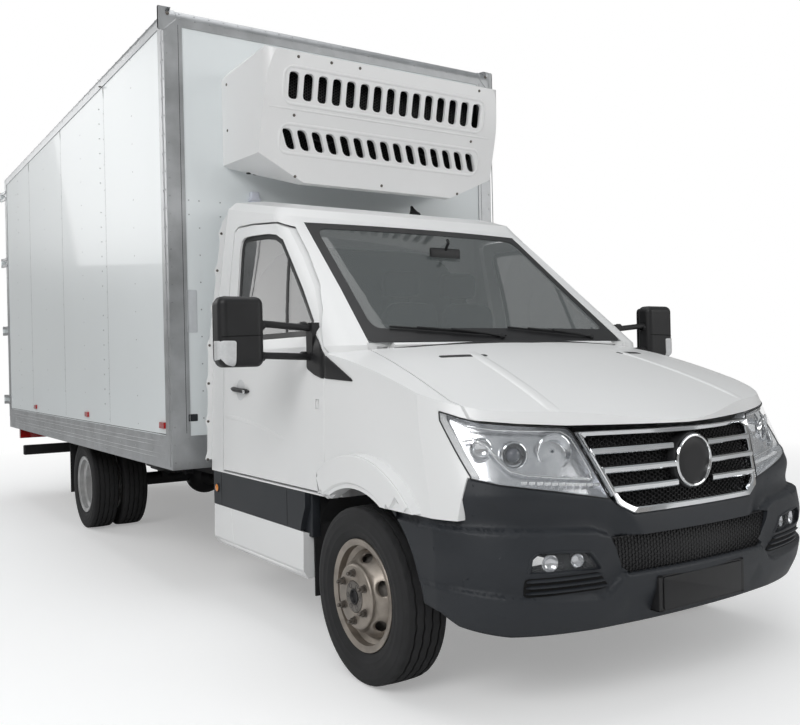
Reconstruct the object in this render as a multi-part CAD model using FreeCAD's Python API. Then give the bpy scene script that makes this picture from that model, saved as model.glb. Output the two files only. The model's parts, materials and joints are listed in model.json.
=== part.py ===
import FreeCAD, Part
import functools
import math
import os
import types

from FreeCAD import Placement, Rotation, Vector

# Refrigerated light truck: ladder chassis, semi-bonneted cab, insulated box, nose-mounted cooler.
# Frame: +X is the front, +Y the truck's left, +Z up. The origin is on the ground under the
# middle of the whole length. All values are millimetres or degrees.

SIZES = [
    # lengths along the truck
    ("front_overhang", 852), ("wheelbase", 4300), ("box_set_back", 1740),
    ("box_length", 5085),
    # wheels
    ("tyre_radius", 350), ("tyre_width", 195), ("rim_radius", 203), ("rim_flange", 18),
    ("rim_width", 150), ("rim_gauge", 8), ("disc_offset", 112.5), ("disc_gauge", 10),
    ("hub_plate_radius", 128), ("hub_bore_radius", 55), ("hand_hole_count", 8),
    ("hand_hole_radius", 17), ("hand_hole_circle", 160), ("stud_count", 6),
    ("stud_circle", 102), ("nut_radius", 15), ("nut_height", 26), ("twin_gap", 30),
    ("front_tyre_face", 1000), ("rear_tyre_face", 1015), ("drum_radius", 140),
    ("drum_width", 70), ("bearing_gap", 1), ("spindle_radius", 34),
    # chassis
    ("rail_half_gap", 400), ("rail_height", 160), ("rail_flange", 65), ("rail_gauge", 8),
    ("rail_bottom", 490), ("cross_gauge", 8), ("cross_height", 110),
    ("bearer_width", 60), ("axle_beam_width", 80), ("axle_beam_height", 70),
    ("axle_tube_radius", 52), ("kingpin_y", 815), ("kingpin_radius", 20),
    ("leaf_width", 50), ("leaf_gauge", 12),
    # insulated box
    ("box_half_width", 1145), ("box_bottom", 700), ("box_top", 3260), ("wall", 80),
    ("rail_depth", 185), ("top_rail_depth", 100), ("skin_step", 5), ("post_flange", 105),
    ("post_gauge", 12), ("door_leaf", 75), ("door_seal", 5), ("door_meet_gap", 18),
    ("hinge_out", 22), ("hinge_radius", 11),
    # cab
    ("cab_side", 980), ("belt_side", 958), ("cab_wall", 60), ("cab_bottom", 705),
    ("belt_height", 1345), ("roof_rear", 2140), ("roof_slope", 0.2), ("roof_crown", 62),
    ("glass", 6), ("frame_gauge", 32), ("door_gap", 10), ("panel_gap", 6),
    ("skin", 30), ("arch_radius", 425), ("flare_radius", 560), ("flare_out", 32),
    ("sill_bottom", 315), ("cladding_bottom", 526),
    # cooler
    ("cooler_half_width", 810), ("cooler_wall", 22), ("slot_count", 15), ("slot_width", 60),
    ("slot_pitch", 88),
]

doc = FreeCAD.newDocument("refrigerated_truck")
sheet = doc.addObject("Spreadsheet::Sheet", "Sizes")
for row, (alias, value) in enumerate(SIZES, start=1):
    sheet.set("A%d" % row, alias)
    sheet.set("B%d" % row, str(value))
    sheet.setAlias("B%d" % row, alias)
doc.recompute()
S = types.SimpleNamespace(**{alias: float(sheet.get(alias)) for alias, _ in SIZES})

# Places along the truck that several pieces share
REAR_HARDWARE = S.hinge_out + S.hinge_radius
HALF_LENGTH = (S.front_overhang + S.box_set_back + S.box_length + REAR_HARDWARE) / 2
FRONT_AXLE = HALF_LENGTH - S.front_overhang
REAR_AXLE = FRONT_AXLE - S.wheelbase
BOX_FRONT = FRONT_AXLE - S.box_set_back
BOX_REAR = BOX_FRONT - S.box_length
AXLE_HEIGHT = S.tyre_radius
W = S.box_half_width
STEP = S.skin_step
FRAME_BACK = BOX_REAR + S.door_leaf + S.door_seal
PANEL_BACK = FRAME_BACK + S.wall
PANEL_FRONT = BOX_FRONT - STEP
RAIL_TOP = S.box_bottom + S.rail_depth
PANEL_TOP = S.box_top - S.top_rail_depth
INNER = W - STEP - S.wall
SIDES = (("left", 1), ("right", -1))

# How far a seated piece lies from its seat
SEAT_GAP = 0.3

DONE = []


def fx(distance):
    """A place along the truck, counted forwards from the front axle."""
    return FRONT_AXLE + distance


def keep(obj, label):
    """Give an object of the document its place in the list of sub-parts."""
    obj.Label = label
    DONE.append(obj)
    return obj


def feature(label, shape, place=None):
    """A sub-part whose shape is built by the functions below."""
    obj = doc.addObject("Part::Feature", label)
    obj.Shape = shape
    if place is not None:
        obj.Placement = place
    return keep(obj, label)


def block(x0, x1, y0, y1, z0, z1):
    """A box between two corners, given in any order."""
    low = Vector(min(x0, x1), min(y0, y1), min(z0, z1))
    return Part.makeBox(abs(x1 - x0), abs(y1 - y0), abs(z1 - z0), low)


def cylinder(radius, start, end):
    """A round bar from one point to another."""
    axis = end.sub(start)
    return Part.makeCylinder(radius, axis.Length, start, axis)


def fuse(shapes):
    """One solid from pieces that touch or overlap."""
    result = shapes[0]
    if len(shapes) > 1:
        result = shapes[0].multiFuse(shapes[1:])
    return result.removeSplitter()


def flip(shape):
    """The same shape on the other side of the truck's middle plane."""
    return shape.mirror(Vector(0, 0, 0), Vector(0, 1, 0))


def both(shape):
    """A shape and its mirror image, as two solids of one node."""
    return Part.makeCompound([shape, flip(shape)])


def side_prism(points, y0, y1):
    """An outline in the side view (x, z), pushed across from y0 to y1."""
    corners = [Vector(x, y0, z) for x, z in points]
    face = Part.Face(Part.makePolygon(corners + corners[:1]))
    return face.extrude(Vector(0, y1 - y0, 0))


def front_prism(points, x0, x1):
    """An outline in the front view (y, z), pushed along from x0 to x1."""
    corners = [Vector(x0, y, z) for y, z in points]
    face = Part.Face(Part.makePolygon(corners + corners[:1]))
    return face.extrude(Vector(x1 - x0, 0, 0))


def plan_prism(points, z0, z1):
    """An outline in the plan view (x, y), pushed up from z0 to z1."""
    corners = [Vector(x, y, z0) for x, y in points]
    face = Part.Face(Part.makePolygon(corners + corners[:1]))
    return face.extrude(Vector(0, 0, z1 - z0))


def largest(shape):
    """The main solid of a boolean's result."""
    return max(shape.Solids, key=lambda solid: solid.Volume)


# Wheels and tyres

def ring(points):
    """A closed outline of (width, radius) points turned once about the wheel's axle (Y)."""
    corners = [Vector(0, y, r) for y, r in points]
    face = Part.Face(Part.makePolygon(corners + corners[:1]))
    return face.revolve(Vector(0, 0, 0), Vector(0, 1, 0), 360)


def tyre():
    """A tyre about the origin: beads, bulged walls, rounded shoulders and a slightly crowned tread."""
    half = S.tyre_width / 2
    bead_y = S.rim_width / 2 - SEAT_GAP
    foot_y = bead_y - 3
    bead_r = S.rim_radius + SEAT_GAP
    wall_r = (S.rim_radius + S.tyre_radius) / 2
    shoulder_r = S.tyre_radius - 12
    tread_y = half - 16
    seat_r = S.rim_radius + S.rim_flange
    def at(y, r):
        return Vector(0, y, r)
    edges = [
        Part.LineSegment(at(foot_y, bead_r), at(bead_y, seat_r)).toShape(),
        Part.Arc(at(bead_y, seat_r), at(half, wall_r), at(half - 5, shoulder_r - 10)).toShape(),
        Part.Arc(at(half - 5, shoulder_r - 10), at(half - 9, shoulder_r + 3),
                 at(tread_y, S.tyre_radius - 3)).toShape(),
        Part.Arc(at(tread_y, S.tyre_radius - 3), at(0, S.tyre_radius),
                 at(-tread_y, S.tyre_radius - 3)).toShape(),
        Part.Arc(at(-tread_y, S.tyre_radius - 3), at(-half + 9, shoulder_r + 3),
                 at(-half + 5, shoulder_r - 10)).toShape(),
        Part.Arc(at(-half + 5, shoulder_r - 10), at(-half, wall_r), at(-bead_y, seat_r)).toShape(),
        Part.LineSegment(at(-bead_y, seat_r), at(-foot_y, bead_r)).toShape(),
        Part.LineSegment(at(-foot_y, bead_r), at(foot_y, bead_r)).toShape(),
    ]
    face = Part.Face(Part.Wire(edges))
    return face.revolve(Vector(0, 0, 0), Vector(0, 1, 0), 360)


def disc_wheel():
    """A pressed steel wheel about the origin, its disc dished towards +Y by disc_offset."""
    g = S.rim_gauge
    half = S.rim_width / 2
    top = S.rim_radius
    lip = top + S.rim_flange
    well = top - 22
    rim = ring([
        (half + g, lip), (half, lip), (half - 3, top), (half - 30, top), (half - 42, well),
        (-half + 42, well), (-half + 30, top), (-half + 3, top), (-half, lip), (-half - g, lip),
        (-half - g + 3, top - g), (-half + 28, top - g), (-half + 40, well - g),
        (half - 40, well - g), (half - 28, top - g), (half + g - 3, top - g),
    ])
    plate = S.disc_offset
    d = S.disc_gauge
    foot_y = half - 50
    disc = ring([
        (foot_y, well - g + 1), (foot_y + 26, well - g + 1), (plate - 16, S.hub_plate_radius + 12),
        (plate, S.hub_plate_radius), (plate, S.hub_bore_radius), (plate - d, S.hub_bore_radius),
        (plate - d, S.hub_plate_radius - 4), (plate - d - 18, S.hub_plate_radius + 4),
        (foot_y + 8, well - g - 10),
    ])
    for index in range(int(S.hand_hole_count)):
        angle = 2 * math.pi * (index + 0.5) / S.hand_hole_count
        x = S.hand_hole_circle * math.cos(angle)
        z = S.hand_hole_circle * math.sin(angle)
        disc = disc.cut(cylinder(S.hand_hole_radius, Vector(x, foot_y - 10, z), Vector(x, plate + 10, z)))
    return fuse([rim, disc])


def nuts():
    """The ring of wheel nuts that stands on the disc's plate."""
    result = []
    for index in range(int(S.stud_count)):
        angle = 2 * math.pi * index / S.stud_count
        x = S.stud_circle * math.cos(angle)
        z = S.stud_circle * math.sin(angle)
        result.append(cylinder(S.nut_radius, Vector(x, S.disc_offset - 1, z),
                               Vector(x, S.disc_offset + S.nut_height, z)))
    return result


def front_wheel():
    """The steered wheel: disc dished outwards, hub and drum behind the plate, cap in the bore."""
    plate = S.disc_offset
    bore = S.spindle_radius + S.bearing_gap
    hub = ring([
        (plate - S.disc_gauge, bore), (plate - S.disc_gauge, S.hub_plate_radius - 20),
        (plate - S.disc_gauge - 14, S.hub_plate_radius - 20), (plate - S.disc_gauge - 14, 80),
        (plate - 60, S.drum_radius), (plate - 60 - S.drum_width, S.drum_radius),
        (plate - 60 - S.drum_width, S.drum_radius - 12), (plate - 74, S.drum_radius - 14),
        (plate - 74, 70), (plate - 110, 70), (plate - 110, bore),
    ])
    cap = ring([
        (plate - S.disc_gauge, 0), (plate - S.disc_gauge, S.hub_bore_radius),
        (plate + 10, S.hub_bore_radius - 4), (plate + 34, S.hub_bore_radius - 16), (plate + 36, 0),
    ])
    return fuse([disc_wheel(), hub, cap] + nuts())


def rear_wheels():
    """Two wheels back to back on one hub, about the middle of the pair; +Y is outwards."""
    shift = S.disc_offset
    inner = disc_wheel()
    inner.translate(Vector(0, -shift, 0))
    outer = disc_wheel().mirror(Vector(0, 0, 0), Vector(0, 1, 0))
    outer.translate(Vector(0, shift, 0))
    bore = S.axle_tube_radius + S.bearing_gap
    flange = S.disc_gauge
    hub = ring([
        (-140, bore), (-140, S.drum_radius), (-140 + S.drum_width, S.drum_radius), (-40, 95),
        (-flange, 95), (flange, 95), (flange, S.hub_bore_radius + 16), (60, S.hub_bore_radius + 10),
        (72, S.hub_bore_radius), (72, 0), (52, 0), (52, bore),
    ])
    bolts = []
    for nut in nuts():
        nut.translate(Vector(0, S.disc_gauge - S.disc_offset, 0))
        bolts.append(nut)
    return fuse([inner, outer, hub] + bolts)


def placed(shape, x, y, z, side):
    """A wheel shape, drawn with +Y outwards, at its place on the left (1) or right (-1)."""
    result = shape if side > 0 else flip(shape)
    result = result.copy()
    result.translate(Vector(x, side * y, z))
    return result


FRONT_WHEEL_Y = S.front_tyre_face - S.tyre_width / 2
OUTER_TWIN_Y = S.rear_tyre_face - S.tyre_width / 2
INNER_TWIN_Y = OUTER_TWIN_Y - S.tyre_width - S.twin_gap
TWIN_Y = (OUTER_TWIN_Y + INNER_TWIN_Y) / 2

front_form = front_wheel()
rear_form = rear_wheels()
tyre_form = tyre()
for side_name, side in SIDES:
    feature("front_wheel_" + side_name, placed(front_form, FRONT_AXLE, FRONT_WHEEL_Y, AXLE_HEIGHT, side))
    feature("front_tyre_" + side_name, placed(tyre_form, FRONT_AXLE, FRONT_WHEEL_Y, AXLE_HEIGHT, side))
    feature("rear_wheels_" + side_name, placed(rear_form, REAR_AXLE, TWIN_Y, AXLE_HEIGHT, side))
    twin = [placed(tyre_form, REAR_AXLE, y, AXLE_HEIGHT, side) for y in (OUTER_TWIN_Y, INNER_TWIN_Y)]
    feature("rear_tyres_" + side_name, Part.makeCompound(twin))


# Axles, steering and springs

def front_beam():
    """The forged front axle: a dropped beam with an upright eye at each end."""
    low = AXLE_HEIGHT - 95
    high = low + S.axle_beam_height
    eye_low = AXLE_HEIGHT - 30
    eye_high = AXLE_HEIGHT + 30
    end = S.kingpin_y - 8
    outline = [(-end, eye_low), (-end + 75, eye_low), (-end + 190, low), (end - 190, low),
               (end - 75, eye_low), (end, eye_low), (end, eye_high), (end - 90, eye_high),
               (end - 205, high), (-end + 205, high), (-end + 90, eye_high), (-end, eye_high)]
    half = S.axle_beam_width / 2
    beam = front_prism(outline, -half + 8, half - 8)
    pieces = [beam]
    for _, side in SIDES:
        foot = Vector(0, side * S.kingpin_y, eye_low)
        pieces.append(Part.makeCylinder(S.kingpin_radius + 16, eye_high - eye_low, foot))
        pad_y = side * SPRING_Y
        pieces.append(block(-half - 20, half + 20, pad_y - S.leaf_width / 2, pad_y + S.leaf_width / 2,
                            high - 10, high + 8))
    axle = fuse(pieces)
    for _, side in SIDES:
        foot = Vector(0, side * S.kingpin_y, eye_low - 5)
        bore = S.kingpin_radius + S.bearing_gap
        axle = axle.cut(Part.makeCylinder(bore, eye_high - eye_low + 10, foot))
    axle.translate(Vector(FRONT_AXLE, 0, 0))
    return axle


STEER_ARM = 160
STEER_ARM_Y = S.kingpin_y - 48
STEER_ARM_Z = AXLE_HEIGHT - 55


def knuckle():
    """The steering knuckle on the left: forked ears on the kingpin, spindle, and steering arm."""
    eye = S.kingpin_radius + 16
    plate_in = S.kingpin_y + eye + 8
    plate_out = plate_in + 26
    ear_gap = 36
    ear_high = 30
    spindle_end = FRONT_WHEEL_Y + S.disc_offset - S.disc_gauge - 2
    pieces = [Part.makeCylinder(S.kingpin_radius, 2 * (ear_gap + ear_high),
                                Vector(0, S.kingpin_y, AXLE_HEIGHT - ear_gap - ear_high))]
    for z in (AXLE_HEIGHT + ear_gap, AXLE_HEIGHT - ear_gap - ear_high):
        pieces.append(Part.makeCylinder(eye - 4, ear_high, Vector(0, S.kingpin_y, z)))
        pieces.append(block(-eye + 4, eye - 4, S.kingpin_y, plate_out, z, z + ear_high))
    pieces.append(block(-eye, eye, plate_in, plate_out, AXLE_HEIGHT - ear_gap - ear_high,
                        AXLE_HEIGHT + ear_gap + ear_high))
    pieces.append(cylinder(S.spindle_radius, Vector(0, plate_in, AXLE_HEIGHT),
                           Vector(0, spindle_end, AXLE_HEIGHT)))
    arm = plan_prism([(-STEER_ARM - 22, STEER_ARM_Y - 22), (-STEER_ARM - 22, STEER_ARM_Y + 22),
                      (-eye, plate_out), (-eye + 20, plate_out), (-eye + 20, S.kingpin_y + 10),
                      (-STEER_ARM + 22, STEER_ARM_Y - 22)],
                     STEER_ARM_Z - 12, STEER_ARM_Z + 12)
    pieces.append(arm)
    shape = fuse(pieces)
    shape.translate(Vector(FRONT_AXLE, 0, 0))
    return shape


def tie_rod():
    """The rod behind the beam that joins the two steering arms, hung under them."""
    x = FRONT_AXLE - STEER_ARM
    z = STEER_ARM_Z - 33 - SEAT_GAP
    bar = cylinder(16, Vector(x, -STEER_ARM_Y, z), Vector(x, STEER_ARM_Y, z))
    pieces = [bar]
    for _, side in SIDES:
        pieces.append(Part.makeCylinder(22, 42, Vector(x, side * STEER_ARM_Y, z - 21)))
    return fuse(pieces)


CHASSIS_NOSE = FRONT_AXLE + 560
SPRING_Y = S.rail_half_gap - S.rail_flange / 2


def leaf_pack(axle_x, seat_z, eye_z, half_span, count):
    """A pack of curved leaves on one side: each leaf shorter than the one above it."""
    leaves = []
    for index in range(count):
        span = half_span * (1 - 0.2 * index)
        drop = index * S.leaf_gauge
        rise = (eye_z - seat_z) * (span / half_span) ** 2
        low = seat_z - drop
        top = Part.Arc(Vector(-span, 0, low + rise), Vector(0, 0, low), Vector(span, 0, low + rise))
        bottom = Part.Arc(Vector(-span, 0, low + rise - S.leaf_gauge), Vector(0, 0, low - S.leaf_gauge),
                          Vector(span, 0, low + rise - S.leaf_gauge))
        ends = [Part.LineSegment(Vector(x, 0, low + rise), Vector(x, 0, low + rise - S.leaf_gauge))
                for x in (-span, span)]
        wire = Part.Wire(Part.__sortEdges__([top.toShape(), bottom.toShape()] + [e.toShape() for e in ends]))
        leaves.append(Part.Face(wire).extrude(Vector(0, S.leaf_width, 0)))
    pack = fuse(leaves)
    for x in (-half_span, half_span):
        eye = Part.makeCylinder(22, S.leaf_width, Vector(x, 0, eye_z), Vector(0, 1, 0))
        pack = pack.fuse(eye)
    pack = pack.removeSplitter()
    pack.translate(Vector(axle_x, SPRING_Y - S.leaf_width / 2, 0))
    return pack


FRONT_SPAN = 560
REAR_SPAN = 620
FRONT_SEAT = AXLE_HEIGHT - 95 + S.axle_beam_height + 8 + 3 * S.leaf_gauge
REAR_SEAT = AXLE_HEIGHT + S.axle_tube_radius + 4 * S.leaf_gauge + 2
EYE_HEIGHT = S.rail_bottom - 30


def rear_axle():
    """The driven axle: a tube with the round differential case in the middle and spring pads."""
    end = TWIN_Y + 50
    tube = cylinder(S.axle_tube_radius, Vector(0, -end, AXLE_HEIGHT), Vector(0, end, AXLE_HEIGHT))
    case = Part.makeSphere(165, Vector(0, 0, AXLE_HEIGHT))
    case = case.common(block(-165, 165, -150, 150, AXLE_HEIGHT - 165, AXLE_HEIGHT + 140))
    nose = Part.makeCone(95, 60, 150, Vector(100, 0, AXLE_HEIGHT), Vector(1, 0, 0))
    pieces = [tube, case, nose]
    for _, side in SIDES:
        y = side * SPRING_Y
        pieces.append(block(-60, 60, y - S.leaf_width / 2, y + S.leaf_width / 2, AXLE_HEIGHT,
                            REAR_SEAT - 4 * S.leaf_gauge))
    shape = fuse(pieces)
    shape.translate(Vector(REAR_AXLE, 0, 0))
    return shape


SHAFT_RADIUS = 36
SHAFT_START = Vector(FRONT_AXLE - 903, 0, 540)
SHAFT_END = Vector(REAR_AXLE + 253, 0, AXLE_HEIGHT)


def chassis():
    """Two channel rails with cross members, spring hangers and the bearers under the box floor."""
    x0 = BOX_REAR + 120
    x1 = CHASSIS_NOSE
    z0 = S.rail_bottom
    z1 = z0 + S.rail_height
    g = S.rail_gauge
    out = S.rail_half_gap
    inn = out - S.rail_flange
    pieces = []
    for _, side in SIDES:
        pieces.append(block(x0, x1, side * (out - g), side * out, z0, z1))
        pieces.append(block(x0, x1, side * inn, side * out, z0, z0 + g))
        pieces.append(block(x0, x1, side * inn, side * out, z1 - g, z1))
        pieces.append(block(PANEL_BACK + 10, BOX_FRONT - 45, side * (out - S.bearer_width), side * out,
                            z1, FLOOR_LOW - BEARER_HIGH))
        for x in (fx(-1400), fx(-520)):
            pieces.append(block(x, x + 90, side * (out - S.bearer_width), side * out, z1, S.cab_bottom - SEAT_GAP))
        for axle_x, span in ((FRONT_AXLE, FRONT_SPAN), (REAR_AXLE, REAR_SPAN)):
            for end in (-span, span):
                cheek = side * (SPRING_Y + S.leaf_width / 2 + SEAT_GAP)
                pieces.append(block(axle_x + end - 35, axle_x + end + 35, cheek, side * out,
                                    EYE_HEIGHT - 28, z0 + g))
                inner = side * (SPRING_Y - S.leaf_width / 2 - SEAT_GAP)
                pieces.append(block(axle_x + end - 35, axle_x + end + 35, inner, side * inn,
                                    EYE_HEIGHT - 28, z0 + g))
    for x in cross_members():
        mid = (z0 + z1) / 2
        half = S.cross_height / 2
        pieces.append(block(x, x + S.cross_gauge, -out + g, out - g, mid - half, mid + half))
        pieces.append(block(x, x + 50, -out + g, out - g, mid + half - S.cross_gauge, mid + half))
    pitch = (PANEL_FRONT - PANEL_BACK - 160) / 9
    for index in range(10):
        x = PANEL_BACK + 40 + index * pitch
        pieces.append(block(x, x + 45, -S.box_half_width + 60, S.box_half_width - 60,
                            FLOOR_LOW - BEARER_HIGH, FLOOR_LOW))
    return fuse(pieces).cut(cylinder(SHAFT_RADIUS + 12, SHAFT_START, SHAFT_END))


def cross_members():
    """Where the channel cross members stand, away from the engine and the differential."""
    return [BOX_REAR + 130, REAR_AXLE - 780, REAR_AXLE + 420, REAR_AXLE + 1300, REAR_AXLE + 2200,
            BOX_FRONT + 200, FRONT_AXLE + 470]


FLOOR_LOW = S.box_bottom + 90
BEARER_HIGH = 78

feature("chassis_frame", chassis())
feature("front_axle", front_beam())
feature("rear_axle", rear_axle())
for side_name, side in SIDES:
    feature("knuckle_" + side_name, knuckle() if side > 0 else flip(knuckle()))
feature("tie_rod", tie_rod())
front_pack = leaf_pack(FRONT_AXLE, FRONT_SEAT, EYE_HEIGHT, FRONT_SPAN, 3)
rear_pack = leaf_pack(REAR_AXLE, REAR_SEAT, EYE_HEIGHT, REAR_SPAN, 4)
feature("leaf_springs", Part.makeCompound([front_pack, flip(front_pack), rear_pack, flip(rear_pack)]))


def engine():
    """Engine and gearbox as one plain block at its real place and size."""
    motor = block(fx(-150), fx(440), -250, 250, 440, 990)
    gearbox = block(fx(-900), fx(-150), -150, 150, 440, 690)
    return fuse([motor, gearbox])


def drive_shaft():
    """The tube from the gearbox to the differential."""
    return cylinder(SHAFT_RADIUS, SHAFT_START, SHAFT_END)


feature("engine_block", engine())
feature("drive_shaft", drive_shaft())


# Insulated box

def box_place(label, x0, x1, y0, y1, z0, z1):
    """A plain insulated panel between two corners."""
    obj = doc.addObject("Part::Box", label)
    obj.Length = x1 - x0
    obj.Width = y1 - y0
    obj.Height = z1 - z0
    obj.Placement = Placement(Vector(x0, y0, z0), Rotation())
    return keep(obj, label)



def box_floor():
    """The insulated floor, with the load deck raised between the walls that stand on it."""
    slab = block(PANEL_BACK, PANEL_FRONT, -W + STEP, W - STEP, FLOOR_LOW, RAIL_TOP)
    deck = block(PANEL_BACK + DECK_GAP, PANEL_FRONT - S.wall - DECK_GAP, -INNER + DECK_GAP, INNER - DECK_GAP,
                 RAIL_TOP, DECK_TOP)
    return slab.fuse(deck).removeSplitter()


DECK_GAP = 1
DECK_TOP = RAIL_TOP + 20

feature("box_floor", box_floor())
feature("box_sides", both(block(PANEL_BACK, PANEL_FRONT, INNER, W - STEP, RAIL_TOP, PANEL_TOP)))
box_place("box_front_wall", PANEL_FRONT - S.wall, PANEL_FRONT, -INNER, INNER, RAIL_TOP, PANEL_TOP)
box_place("box_roof", PANEL_BACK, PANEL_FRONT - S.wall, -INNER, INNER, PANEL_TOP, S.box_top - STEP)


def box_frame():
    """Aluminium rails and corner posts round the panels, with the rear door frame."""
    bottom = S.box_bottom
    top = S.box_top
    lip = 40
    pieces = []
    for _, side in SIDES:
        pieces.append(block(FRAME_BACK, BOX_FRONT, side * (W - STEP), side * W, bottom, RAIL_TOP))
        pieces.append(block(FRAME_BACK, BOX_FRONT, side * (W - lip), side * W, bottom, bottom + STEP))
        pieces.append(block(FRAME_BACK, BOX_FRONT, side * INNER, side * W, PANEL_TOP, top))
        pieces.append(block(BOX_FRONT - S.post_flange, BOX_FRONT, side * (W - STEP), side * W, bottom, top))
        pieces.append(block(BOX_FRONT - STEP, BOX_FRONT, side * (W - S.post_flange), side * W, bottom, top))
        pieces.append(block(FRAME_BACK, PANEL_BACK, side * INNER, side * W, bottom, top))
    pieces.append(block(BOX_FRONT - STEP, BOX_FRONT, -W, W, bottom, RAIL_TOP))
    pieces.append(block(BOX_FRONT - lip, BOX_FRONT, -W, W, bottom, bottom + STEP))
    pieces.append(block(PANEL_FRONT - S.wall, BOX_FRONT, -W, W, PANEL_TOP, top))
    pieces.append(block(FRAME_BACK, PANEL_BACK, -W, W, PANEL_TOP, top))
    pieces.append(block(FRAME_BACK, PANEL_BACK, -W, W, bottom, RAIL_TOP))
    frame = fuse(pieces)
    long_edges = []
    for edge in frame.Edges:
        box = edge.BoundBox
        at_top = box.ZMin > top - 1
        on_side = at_top and min(abs(box.YMin - W), abs(box.YMax + W)) < 1 and box.YLength < 1
        on_front = at_top and box.XMin > BOX_FRONT - 1
        if on_side or on_front:
            long_edges.append(edge)
    return frame.makeFillet(60, long_edges)


HINGE_X = BOX_REAR - S.hinge_out
HINGE_Y = W + S.hinge_out
HINGE_HEIGHTS = [980, 1680, 2380, 3060]


def box_door():
    """The left rear leaf with its lock rods and the hinge straps round the pin."""
    y0 = S.door_meet_gap / 2
    y1 = W - 10
    z0 = S.box_bottom + 105
    z1 = S.box_top - 25
    leaf = block(BOX_REAR, BOX_REAR + S.door_leaf, y0, y1, z0, z1)
    pieces = [leaf]
    for y in (140, 560):
        rod = Part.makeCylinder(13, z1 - z0 + 60, Vector(BOX_REAR - 20, y, z0 - 30))
        pieces.append(rod)
        for z in (z0 + 40, (z0 + z1) / 2, z1 - 70):
            pieces.append(block(BOX_REAR - 30, BOX_REAR, y - 28, y + 28, z, z + 45))
    for z in HINGE_HEIGHTS:
        pieces.append(block(BOX_REAR - 7, BOX_REAR, y1 - 210, HINGE_Y, z - 20, z + 20))
        pieces.append(block(HINGE_X - 6, BOX_REAR, HINGE_Y - 6, HINGE_Y + 6, z - 20, z + 20))
        pieces.append(Part.makeCylinder(S.hinge_radius, 40, Vector(HINGE_X, HINGE_Y, z - 20)))
    return fuse(pieces)


def hinge_brackets():
    """Straps on the rear posts that hold the door pins above and below each door strap."""
    pieces = []
    for z in HINGE_HEIGHTS:
        for low in (z - 45 - SEAT_GAP, z + 20 + SEAT_GAP):
            arm = plan_prism([(HINGE_X, HINGE_Y - 9), (HINGE_X, HINGE_Y + 9), (BOX_REAR + 30, W + 12),
                              (PANEL_BACK - 20, W + 8), (PANEL_BACK - 20, W), (FRAME_BACK, W),
                              (BOX_REAR + 10, W + 3)], low, low + 25)
            pieces.append(arm.fuse(Part.makeCylinder(S.hinge_radius, 25, Vector(HINGE_X, HINGE_Y, low))))
    return pieces


frame = box_frame()
brackets = hinge_brackets()
feature("box_frame", fuse([frame] + brackets + [flip(b) for b in brackets]))
left_leaf = box_door()
feature("box_door_left", left_leaf)
feature("box_door_right", flip(left_leaf))


# Cab

ROOF_START = -1610


def roof_line(x):
    """Height of the drip rail, which falls towards the front."""
    return S.roof_rear - S.roof_slope * (x - fx(ROOF_START))


def cab_wire(level, rear, side_rear, side_end, mid, pillar, centre, inset):
    """A plan outline of the cab: flat back, straight sides, a pillar curve and a bowed front."""
    def at(x, y):
        return Vector(fx(x), y, level(fx(x)))
    t = inset
    back = rear + t
    half = side_rear - t
    corner = 30 - min(t / 2, 16)
    ends = (side_end[0] - 0.4 * t, side_end[1] - t)
    knee = (mid[0] - 0.7 * t, mid[1] - 0.8 * t)
    post = (pillar[0] - t, pillar[1] - 0.5 * t)
    nose = (centre - t, 0)
    cut = corner * 0.3
    edges = []
    edges.append(Part.LineSegment(at(back, -half + corner), at(back, half - corner)).toShape())
    edges.append(Part.Arc(at(back, half - corner), at(back + cut, half - cut),
                          at(back + corner, half)).toShape())
    edges.append(Part.LineSegment(at(back + corner, half), at(*ends)).toShape())
    edges.append(Part.Arc(at(*ends), at(*knee), at(*post)).toShape())
    edges.append(Part.Arc(at(*post), at(*nose), at(post[0], -post[1])).toShape())
    edges.append(Part.Arc(at(post[0], -post[1]), at(knee[0], -knee[1]), at(ends[0], -ends[1])).toShape())
    edges.append(Part.LineSegment(at(ends[0], -ends[1]), at(back + corner, -half)).toShape())
    edges.append(Part.Arc(at(back + corner, -half), at(back + cut, -half + cut),
                          at(back, -half + corner)).toShape())
    return Part.Wire(edges)


def floor_wire(inset):
    """The cab's outline at its floor."""
    return cab_wire(lambda x: S.cab_bottom + inset, ROOF_START, S.cab_side, (-300, S.cab_side),
                    (-250, S.cab_side - 23), (-228, S.cab_side - 100), -220, inset)


def belt_wire(inset):
    """The cab's outline at the window sill, where the windscreen starts."""
    return cab_wire(lambda x: S.belt_height, ROOF_START, S.belt_side, (-340, S.belt_side - 5),
                    (-280, S.belt_side - 45), (-243, S.belt_side - 125), -125, inset)


def drip_wire(inset):
    """The cab's outline at the drip rail, above doors and windscreen."""
    return cab_wire(roof_line, ROOF_START + 20, 862, (-1130, 802), (-1072, 768), (-1042, 715), -975, inset)


def crown_wire(inset, rise):
    """An outline of the roof above the drip rail, drawn in evenly all round."""
    t = inset
    return cab_wire(lambda x: roof_line(x) + rise, ROOF_START + 20 + t, 862 - t, (-1130 - 0.4 * t, 802 - t),
                    (-1072 - 0.7 * t, 768 - t), (-1042 - t, 715 - t), -975 - t, 0)


@functools.lru_cache(maxsize=None)
def cab_volume(inset):
    """The cab's whole volume, drawn in from its outer skin by a wall's thickness."""
    wires = [floor_wire(inset), belt_wire(inset), drip_wire(inset)]
    crown = S.roof_crown - 0.6 * inset
    roof = [drip_wire(inset), crown_wire(inset + 35, crown * 0.65), crown_wire(inset + 150, crown)]
    lower = Part.makeLoft(wires[:2], True, True)
    upper = Part.makeLoft(wires[1:], True, True)
    cap = Part.makeLoft(roof, True, True)
    return lower.multiFuse([upper, cap])


CAB_OUTER = cab_volume(0)
CAB_INNER = cab_volume(S.cab_wall)
CAB_THIN = cab_volume(S.frame_gauge)

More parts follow.
